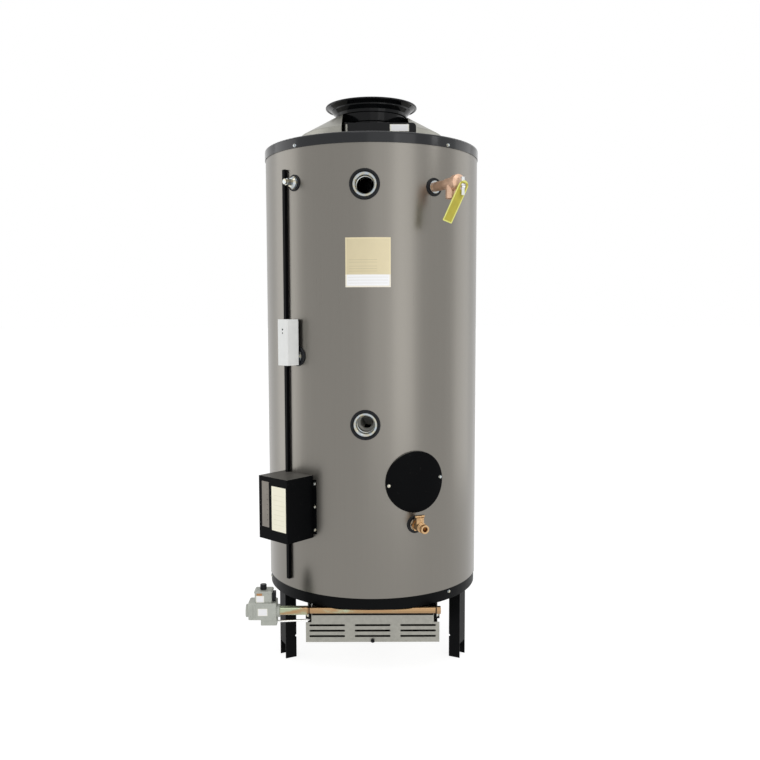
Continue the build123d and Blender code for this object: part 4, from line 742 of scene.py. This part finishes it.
def shape_tree(name, sizes, build):
    """A node tree that sets one shape on every point, turned by the points' own attribute."""
    tree = bpy.data.node_groups.new(name, "GeometryNodeTree")
    tree.interface.new_socket("Points", in_out="INPUT", socket_type="NodeSocketGeometry")
    for label in sizes:
        tree.interface.new_socket(label, in_out="INPUT", socket_type="NodeSocketFloat")
    tree.interface.new_socket("Material", in_out="INPUT", socket_type="NodeSocketMaterial")
    tree.interface.new_socket("Shape", in_out="OUTPUT", socket_type="NodeSocketGeometry")
    ground = Flow(tree)
    entry = tree.nodes.new("NodeGroupInput")
    given = {socket.name: Flow(tree, socket) for socket in entry.outputs}
    shape = build(ground, given)
    turn = ground.node("GeometryNodeInputNamedAttribute", {"data_type": "FLOAT_VECTOR"}, {"Name": "turn"})
    rotation = ground.node("FunctionNodeEulerToRotation", {}, {0: turn})
    copies = ground.node("GeometryNodeInstanceOnPoints", {},
                         {"Points": given["Points"], "Instance": shape, "Rotation": rotation})
    whole = ground.node("GeometryNodeRealizeInstances", {}, {0: copies})
    painted = ground.node("GeometryNodeSetMaterial", {}, {"Geometry": whole, "Material": given["Material"]})
    ending = tree.nodes.new("NodeGroupOutput")
    tree.links.new(painted.socket, ending.inputs[0])
    return tree


def repeat(name, build, sizes, spots, finish):
    """A plain mesh of one shape repeated at several places by a node tree."""
    tree = shape_tree(name, sizes, build)
    points = bpy.data.meshes.new(name + "_points")
    points.from_pydata([spot.translation for spot in spots], [], [])
    turn = points.attributes.new("turn", "FLOAT_VECTOR", "POINT")
    turn.data.foreach_set("vector", [part for spot in spots for part in spot.to_euler()])
    holder = bpy.data.objects.new(name + "_holder", points)
    bpy.context.scene.collection.objects.link(holder)
    modifier = holder.modifiers.new("Shape", "NODES")
    modifier.node_group = tree
    values = dict(sizes, Material=finish_of(finish))
    for item in tree.interface.items_tree:
        if item.in_out == "INPUT" and item.name in values:
            modifier[item.identifier] = values[item.name]
    bpy.context.view_layer.update()
    mesh = bpy.data.meshes.new_from_object(holder.evaluated_get(bpy.context.evaluated_depsgraph_get()))
    mesh.name = name
    holder.modifiers.remove(modifier)
    bpy.data.objects.remove(holder)
    bpy.data.meshes.remove(points)
    mesh.set_sharp_from_angle(angle=radians(30))
    return mesh


def raised(ground, shape, height):
    """A shape moved up along its own axis."""
    lift = ground.node("ShaderNodeCombineXYZ", {}, {"Z": height})
    return ground.node("GeometryNodeTransform", {}, {"Geometry": shape, "Translation": lift})


def screw_shape(ground, given):
    """A washer-head screw: a dished washer, a six-sided head and its crowned top."""
    washer_wall = given["Height"] * 0.28
    washer = ground.node("GeometryNodeMeshCone", {}, {
        "Vertices": 28, "Radius Top": given["Washer"] * 0.9, "Radius Bottom": given["Washer"],
        "Depth": washer_wall})
    head_wall = given["Height"] * 0.86
    head = ground.node("GeometryNodeMeshCone", {}, {
        "Vertices": 6, "Radius Top": given["Head"], "Radius Bottom": given["Head"], "Depth": head_wall})
    crown = ground.node("GeometryNodeMeshCone", {}, {
        "Vertices": 24, "Radius Top": given["Head"] * 0.6, "Radius Bottom": given["Head"] * 0.84,
        "Depth": given["Height"] - head_wall})
    return ground.node("GeometryNodeJoinGeometry", {}, {0: [washer, head, raised(ground, crown, head_wall)]})


def thread_shape(ground, given):
    """A screw thread: a spiral ridge swept along a helix."""
    helix = ground.node("GeometryNodeCurveSpiral", {}, {
        "Resolution": 48, "Rotations": given["Length"] / given["Pitch"], "Start Radius": given["Radius"],
        "End Radius": given["Radius"], "Height": given["Length"]})
    ridge = ground.node("GeometryNodeCurvePrimitiveCircle", {}, {
        "Resolution": 4, "Radius": given["Pitch"] * 0.46})
    return ground.node("GeometryNodeCurveToMesh", {},
                       {"Curve": helix, "Profile Curve": ridge, "Fill Caps": True})


def add_threads(name, mounts, pitch, gap, finish):
    """Screw threads on mounts of one size, a gap short of each end."""
    dims = MOUNTS[mounts[0]]["dims"]
    half = dims["length_mm"] / 2000 - gap
    spots = []
    for mount in mounts:
        axis = MOUNTS[mount]["axis"]
        spots.append(facing(Vector(MOUNTS[mount]["pos_m"]) - Vector(axis) * half, axis))
    sizes = {"Radius": dims["r_mm"] / 1000, "Pitch": pitch, "Length": 2 * half}
    add_piece(name, repeat(name, thread_shape, sizes, spots, finish), finish)


def dot_shape(ground, given):
    """A low round dot."""
    return ground.node("GeometryNodeMeshCone", {}, {
        "Vertices": 14, "Radius Top": given["Radius"] * 0.8, "Radius Bottom": given["Radius"],
        "Depth": given["Height"]})


def flat_plate(place, width, tall, wall=LABEL_WALL, corner=LABEL_CORNER, steps=5):
    """A thin plate with round corners on a flat place, with its own surface coordinates."""
    rim = []
    for quarter, (side, rise) in enumerate(((1, 1), (-1, 1), (-1, -1), (1, -1))):
        for step in range(steps + 1):
            angle = pi / 2 * (quarter + step / steps)
            rim.append((side * (width / 2 - corner) + corner * cos(angle),
                        rise * (tall / 2 - corner) + corner * sin(angle)))
    work = bmesh.new()
    flat = work.verts.layers.float_vector.new("flat")
    layers = []
    for level in (0, wall):
        ring = []
        for x, y in rim:
            vertex = work.verts.new(place @ Vector((x, y, level)))
            vertex[flat] = (x / width + 0.5, y / tall + 0.5, 0)
            ring.append(vertex)
        layers.append(ring)
    back, front = layers
    work.faces.new(reversed(back))
    work.faces.new(front)
    for i in range(len(rim)):
        j = (i + 1) % len(rim)
        work.faces.new((back[i], back[j], front[j], front[i]))
    return set_coordinates(work, flat)


def set_coordinates(work, flat):
    """Copy the points' flat coordinates to the faces' own map."""
    uv = work.loops.layers.uv.new("UVMap")
    for face in work.faces:
        for loop in face.loops:
            loop[uv].uv = loop.vert[flat].xy
    return work


def wrapped_plate(angle, middle, width, tall, wall, columns=24):
    """A thin plate bent to the jacket, with its own surface coordinates."""
    work = bmesh.new()
    flat = work.verts.layers.float_vector.new("flat")
    grids = []
    for level in (0, wall):
        grid = []
        for row in range(2):
            line = []
            for column in range(columns + 1):
                share = column / columns
                lean = angle + (share - 0.5) * width / JACKET_RADIUS / radians(1)
                spot = outward(lean, middle + (row - 0.5) * tall, JACKET_RADIUS + level).translation
                vertex = work.verts.new(spot)
                vertex[flat] = (share, row, 0)
                line.append(vertex)
            grid.append(line)
        grids.append(grid)
    low, high = grids
    for column in range(columns):
        work.faces.new((high[0][column], high[0][column + 1], high[1][column + 1], high[1][column]))
        work.faces.new((low[0][column], low[1][column], low[1][column + 1], low[0][column + 1]))
        for row in (0, 1):
            work.faces.new((low[row][column], low[row][column + 1], high[row][column + 1], high[row][column]))
    for column in (0, columns):
        work.faces.new((low[0][column], low[1][column], high[1][column], high[0][column]))
    bmesh.ops.recalc_face_normals(work, faces=work.faces)
    return set_coordinates(work, flat)


def prism(place, sides, radius, tall, ease):
    """A many-sided nut or boss on a place, with eased edges."""
    work = bmesh.new()
    bmesh.ops.create_cone(work, cap_ends=True, segments=sides, radius1=radius, radius2=radius, depth=tall,
                          matrix=place @ Matrix.Translation((0, 0, tall / 2)))
    ease_edges(work, ease)
    return work


class HEATER_OT_jacket(bpy.types.Operator):
    """Rolled jacket with its back seam and a blank data plate"""

    bl_idname = "heater.jacket"
    bl_label = "Jacket"

    def execute(self, context):
        sizes = context.scene.heater_sizes
        skin = refine("jacket", "jacket_skin")
        self.round_off(skin.data)
        low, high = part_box("jacket")
        middle = (low.z + high.z) / 2
        seam = wrapped_plate(SEAM_ANGLE, middle, sizes.seam_width, high.z - low.z, sizes.seam_rise, columns=6)
        add_shape("jacket_seam", seam, "jacket_paint")
        plate = wrapped_plate(PLATE_ANGLE, sizes.plate_middle, sizes.plate_width, sizes.plate_height,
                              PLATE_WALL)
        add_shape("data_plate", plate, "data_plate")
        return {"FINISHED"}

    @staticmethod
    def round_off(mesh):
        """Point the wall's normals straight at or away from the tank's axis."""
        normals = []
        for loop in mesh.loops:
            place = mesh.vertices[loop.vertex_index].co
            away = Vector((place.x, place.y, 0)).normalized()
            normal = loop.normal.copy()
            side = normal.dot(away)
            normals.append(away * (1 if side > 0 else -1) if abs(side) > 0.8 else normal)
        mesh.normals_split_custom_set(normals)


class HEATER_OT_lid_and_base(bpy.types.Operator):
    """Lid, base ring, pan and legs"""

    bl_idname = "heater.lid_and_base"
    bl_label = "Lid and Base"

    def execute(self, context):
        refine("jacket_lid", "lid_pan", ease=0.0004)
        refine("base_ring", "base_band", "black_satin", ease=0.0003)
        refine("base_pan", "base_floor", "black_satin")
        for leg in ("left_leg", "right_leg", "rear_leg"):
            refine(leg, leg + "_channel", "black_satin", ease=0.0006)
        return {"FINISHED"}


class HEATER_OT_hood(bpy.types.Operator):
    """Draft hood, its collector, and the plate in front with a blank label"""

    bl_idname = "heater.hood"
    bl_label = "Draft Hood"

    def execute(self, context):
        refine("draft_hood", "hood_spinning", "hood_enamel", ease=0.0003)
        refine("flue_collector", "collector_cone", ease=0.0002)
        refine("hood_plate", "hood_shield", "hood_enamel", ease=0.0004)
        low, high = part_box("hood_plate")
        face, middle, tall = high.y - HOOD_WALL, 1.7035, 0.021
        add_shape("hood_label", flat_plate(upright((0.086, face, middle)), 0.058, tall), "blank_label")
        edge = flat_plate(upright((low.x + HOOD_EDGE / 2, face, middle)), HOOD_EDGE, tall, corner=0.0006)
        add_shape("hood_edge", edge, "galvanised")
        return {"FINISHED"}


class HEATER_OT_screws(bpy.types.Operator):
    """Washer-head screws, all from one node tree"""

    bl_idname = "heater.screws"
    bl_label = "Screws"

    def execute(self, context):
        sizes = context.scene.heater_sizes
        spots = [seat_of(points) for points in solids_of("sheet_screws")]
        mesh = repeat("washer_screws", screw_shape,
                      {"Head": sizes.screw_head, "Washer": sizes.screw_washer, "Height": sizes.screw_height},
                      spots, "zinc_steel")
        add_piece("washer_screws", mesh, "zinc_steel", stands_for=("sheet_screws",))
        refine("leg_bolts", "leg_hex_bolts", ease=0.0003)
        return {"FINISHED"}


class HEATER_OT_ports(bpy.types.Operator):
    """Water ports with trim rings and threads, and the plugged spare port"""

    bl_idname = "heater.ports"
    bl_label = "Water Ports"

    def execute(self, context):
        sizes = context.scene.heater_sizes
        refine("trim_rings", "port_trims", ease=0.0006)
        refine("water_spuds", "port_spuds", ease=0.0003)
        refine("plug_bushing", "spare_bushing", ease=0.0004)
        refine("pipe_plug", "spare_plug", "zinc_steel", ease=0.0005)
        add_threads("port_threads", ("hot_outlet", "cold_inlet"), sizes.pipe_pitch, 0.004, "zinc_steel")
        return {"FINISHED"}


class HEATER_OT_aquastat(bpy.types.Operator):
    """Aquastat cover, and its dial in black moulding as painted shade seen through the cover's holes"""

    bl_idname = "heater.aquastat"
    bl_label = "Aquastat"

    def execute(self, context):
        refine("aquastat_cover", "aquastat_case", ease=0.0004)
        # Painted shade: the dial gets black moulding in place of its pale plastic, so the holes in the cover
        # look dark.
        refine("aquastat_dial", "aquastat_wheel", "black_plastic", ease=0.0002)
        return {"FINISHED"}


class HEATER_OT_control_box(bpy.types.Operator):
    """Control box with its grey panel, blank label and bushing, and the wire raceway"""

    bl_idname = "heater.control_box"
    bl_label = "Control Box"

    def execute(self, context):
        sizes = context.scene.heater_sizes
        refine("control_box_cover", "control_cover", "black_powder", ease=0.0005)
        refine("wire_raceway", "wire_channel", "black_powder", ease=0.0008)
        low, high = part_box("control_box_cover")
        face = outward(BOX_ANGLE, (low.z + high.z) / 2, JACKET_RADIUS + BOX_DEPTH)
        panel = face @ Matrix.Translation((-0.034, 0.012, 0))
        add_shape("control_panel", flat_plate(panel, 0.032, 0.142, wall=0.0008), "grey_panel")
        first, pitch = (1 - sizes.panel_dots) / 2, 0.016
        dots = [panel @ Matrix.Translation((0.009, (first + i) * pitch, 0.0007))
                for i in range(sizes.panel_dots)]
        mesh = repeat("panel_dots", dot_shape, {"Radius": 0.0012, "Height": 0.0006}, dots, "black_powder")
        add_piece("panel_dots", mesh, "black_powder")
        label = face @ Matrix.Translation((0.0265, 0.004, 0))
        add_shape("control_label", flat_plate(label, 0.064, 0.137), "cream_label")
        under = face @ Vector((-0.046, low.z - face.translation.z, -0.05))
        bushing = prism(facing(under, (0, 0, -1)), sides=20, radius=0.0075, tall=0.013, ease=0.0012)
        add_shape("box_bushing", bushing, "dial_plastic")
        return {"FINISHED"}


class HEATER_OT_cleanout(bpy.types.Operator):
    """Dished cleanout cover"""

    bl_idname = "heater.cleanout"
    bl_label = "Cleanout"

    def execute(self, context):
        refine("cleanout_cover", "cleanout_dish", "black_powder", ease=0.0012)
        return {"FINISHED"}


class HEATER_OT_relief_valve(bpy.types.Operator):
    """Relief valve with its lever and tag"""

    bl_idname = "heater.relief_valve"
    bl_label = "Relief Valve"

    def execute(self, context):
        refine("relief_body", "relief_casting", ease=0.0008)
        refine("relief_bonnet", "relief_cap", ease=0.0006)
        refine("relief_stem", "relief_spindle", ease=0.0002)
        refine("relief_lever", "relief_handle", ease=0.0004)
        tag = refine("relief_tag", "relief_strap", ease=0.0002)
        self.map_tag(tag.data)
        return {"FINISHED"}

    @staticmethod
    def map_tag(mesh):
        """Surface coordinates across and along the tag."""
        points = np.array([vertex.co for vertex in mesh.vertices])
        points = points - points.mean(0)
        flat = points @ np.linalg.eigh(np.cov(points.T))[1][:, [1, 2]]
        if np.corrcoef(flat[:, 1], points[:, 2])[0, 1] > 0:
            flat[:, 1] = -flat[:, 1]
        flat = (flat - flat.min(0)) / np.ptp(flat, axis=0)
        uv = mesh.uv_layers.new(name="UVMap")
        for loop in mesh.loops:
            uv.data[loop.index].uv = flat[loop.vertex_index]


class HEATER_OT_drain_valve(bpy.types.Operator):
    """Drain valve with its hose thread and handle"""

    bl_idname = "heater.drain_valve"
    bl_label = "Drain Valve"

    def execute(self, context):
        sizes = context.scene.heater_sizes
        for node, name in (("drain_body", "drain_casting"), ("drain_gland", "drain_nut"),
                           ("drain_cock", "drain_plug"), ("drain_handle", "drain_lever")):
            refine(node, name, ease=0.0006)
        add_threads("hose_thread", ("drain_outlet",), sizes.hose_pitch, 0.003, "drain_brass")
        return {"FINISHED"}


class HEATER_OT_gas_train(bpy.types.Operator):
    """Gas valve with blank labels, the pipe to the burners and the pilot tube"""

    bl_idname = "heater.gas_train"
    bl_label = "Gas Valve and Pipe"

    def execute(self, context):
        refine("gas_valve_body", "valve_casting", ease=0.0012)
        refine("gas_valve_head", "valve_head", ease=0.0010)
        refine("gas_valve_socket", "valve_socket", ease=0.0005)
        refine("gas_knob", "valve_knob", ease=0.0004)
        refine("manifold_nipple", "gas_nipple", ease=0.0004)
        refine("manifold_pipe", "gas_pipe", ease=0.0003)
        refine("manifold_end_plug", "gas_end_plug", ease=0.0006)
        refine("pilot_tube", "pilot_pipe")
        refine("manifold_brackets", "pipe_brackets", "black_satin", ease=0.0003)
        self.labels()
        return {"FINISHED"}

    @staticmethod
    def labels():
        """Blank labels and a tan strip on the flat fronts, a little behind the foremost edges."""
        behind = 0.002
        head_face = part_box("gas_valve_head")[0].y + behind
        body_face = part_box("gas_valve_body")[0].y + behind
        spots = (
            ("valve_label_upper", "blank_label", (-0.347, head_face, 0.2615), 0.025, 0.021),
            ("valve_label_lower", "blank_label", (-0.339, body_face, 0.222), 0.030, 0.023),
            ("valve_strip", "tan_strip", (-0.349, head_face, 0.2765), 0.017, 0.007),
        )
        for name, finish, place, width, tall in spots:
            add_shape(name, flat_plate(upright(place), width, tall, wall=0.0005), finish)


class HEATER_OT_burner_door(bpy.types.Operator):
    """Slotted burner door and its latch"""

    bl_idname = "heater.burner_door"
    bl_label = "Burner Door"

    def execute(self, context):
        refine("burner_door", "door_panel", ease=0.0002)
        refine("door_latch", "door_knob", "black_plastic", ease=0.0005)
        return {"FINISHED"}


class HEATER_OT_inner_pieces(bpy.types.Operator):
    """Finishes of the CAD pieces, by their record slots"""

    bl_idname = "heater.inner_pieces"
    bl_label = "Inner Pieces"

    def execute(self, context):
        for node, thing in frame["nodes"].items():
            thing.data.materials.clear()
            thing.data.materials.append(finish_of(SLOT_OF[node]))
        return {"FINISHED"}


class HEATER_OT_stage(bpy.types.Operator):
    """Pale floor, white room, soft lights and the camera"""

    bl_idname = "heater.stage"
    bl_label = "Stage"

    def execute(self, context):
        scene = context.scene
        stage = scene.heater_stage
        scene.view_settings.view_transform = "Standard"
        self.room(scene, stage)
        self.floor(scene)
        for name, (power, size, angle, reach, height) in LAMPS.items():
            self.lamp(scene, name, getattr(stage, power), size, angle, reach, height)
        self.camera(scene, stage)
        return {"FINISHED"}

    @staticmethod
    def room(scene, stage):
        """An even white room, which the camera, metal and glass see at full white."""
        world = bpy.data.worlds.new("white_room")
        scene.world = world
        world.use_nodes = True
        tree = world.node_tree
        tree.nodes.clear()
        ground = Flow(tree)
        level = ground.seen_white() * (1 - stage.fill) + stage.fill
        light = ground.node("ShaderNodeBackground", {}, {"Strength": level, "Color": (1, 1, 1, 1)})
        ending = tree.nodes.new("ShaderNodeOutputWorld")
        tree.links.new(light.socket, ending.inputs["Surface"])

    @staticmethod
    def floor(scene):
        """A wide pale floor that goes over into white and keeps the shadow."""
        mesh = bpy.data.meshes.new("floor")
        work = bmesh.new()
        bmesh.ops.create_circle(work, cap_ends=True, radius=FLOOR_RADIUS, segments=64)
        work.to_mesh(mesh)
        work.free()
        thing = bpy.data.objects.new("floor", mesh)
        scene.collection.objects.link(thing)
        coat = Finish("floor", Roughness=0.9, Specular_IOR_Level=0.0)
        grain = coat.noise(3.0, 3.0)
        coat.feed("Base Color", grain.blend((0.93, 0.93, 0.93), (0.95, 0.95, 0.95)))
        glow = coat.ground.node("ShaderNodeEmission", {}, {"Color": (1, 1, 1, 1), "Strength": FLOOR_GLOW})
        lit = Flow(coat.ground.tree, coat.shader.outputs[0])
        surface = coat.ground.node("ShaderNodeMixShader", {},
                                   {0: coat.ground.seen_white() * FLOOR_GLOW_SHARE, 1: lit, 2: glow})
        output = next(node for node in coat.ground.tree.nodes if node.type == "OUTPUT_MATERIAL")
        coat.ground.tree.links.new(surface.socket, output.inputs["Surface"])
        mesh.materials.append(coat.material)

    @staticmethod
    def lamp(scene, name, power, size, angle, reach, height):
        """A rectangular soft light at an angle from the front, aimed at the heater."""
        light = bpy.data.lights.new(name, "AREA")
        light.shape = "RECTANGLE"
        light.size, light.size_y = size
        light.energy = power
        thing = bpy.data.objects.new(name, light)
        scene.collection.objects.link(thing)
        place = outward(angle, height, reach).translation
        aim = Vector((0, 0, min(height, LAMP_AIM)))
        thing.location = place
        thing.rotation_euler = (aim - place).to_track_quat("-Z", "Y").to_euler()

    @staticmethod
    def camera(scene, stage):
        """The photograph's viewpoint."""
        data = bpy.data.cameras.new("camera")
        data.sensor_width = SENSOR_WIDTH
        data.lens = stage.camera_lens
        data.shift_x = stage.camera_shift
        thing = bpy.data.objects.new("camera", data)
        scene.collection.objects.link(thing)
        thing.matrix_world = (Matrix.Translation((0, -stage.camera_back, stage.camera_height))
                              @ Matrix.Rotation(pi / 2 - stage.camera_pitch, 4, "X")
                              @ Matrix.Rotation(stage.camera_roll, 4, "Z"))
        scene.camera = thing


class HEATER_PT_panel(bpy.types.Panel):
    """Buttons for the heater's pieces"""

    bl_label = "Water Heater"
    bl_idname = "HEATER_PT_panel"
    bl_space_type = "VIEW_3D"
    bl_region_type = "UI"
    bl_category = "Heater"

    def draw(self, context):
        for operator in OPERATORS:
            self.layout.operator(operator.bl_idname)


OPERATORS = (
    HEATER_OT_inner_pieces,
    HEATER_OT_jacket,
    HEATER_OT_lid_and_base,
    HEATER_OT_hood,
    HEATER_OT_screws,
    HEATER_OT_ports,
    HEATER_OT_aquastat,
    HEATER_OT_control_box,
    HEATER_OT_cleanout,
    HEATER_OT_relief_valve,
    HEATER_OT_drain_valve,
    HEATER_OT_gas_train,
    HEATER_OT_burner_door,
    HEATER_OT_stage,
)
CLASSES = (HeaterColours, HeaterSizes, HeaterStage, *OPERATORS, HEATER_PT_panel)


def register():
    for item in CLASSES:
        bpy.utils.register_class(item)
    bpy.types.Scene.heater_colours = PointerProperty(type=HeaterColours)
    bpy.types.Scene.heater_sizes = PointerProperty(type=HeaterSizes)
    bpy.types.Scene.heater_stage = PointerProperty(type=HeaterStage)


def unregister():
    del bpy.types.Scene.heater_stage
    del bpy.types.Scene.heater_sizes
    del bpy.types.Scene.heater_colours
    for item in reversed(CLASSES):
        bpy.utils.unregister_class(item)


def main():
    """Make every piece and the stage."""
    register()
    for operator in OPERATORS:
        group, name = operator.bl_idname.split(".")
        getattr(getattr(bpy.ops, group), name)()


if __name__ == "__main__":
    main()
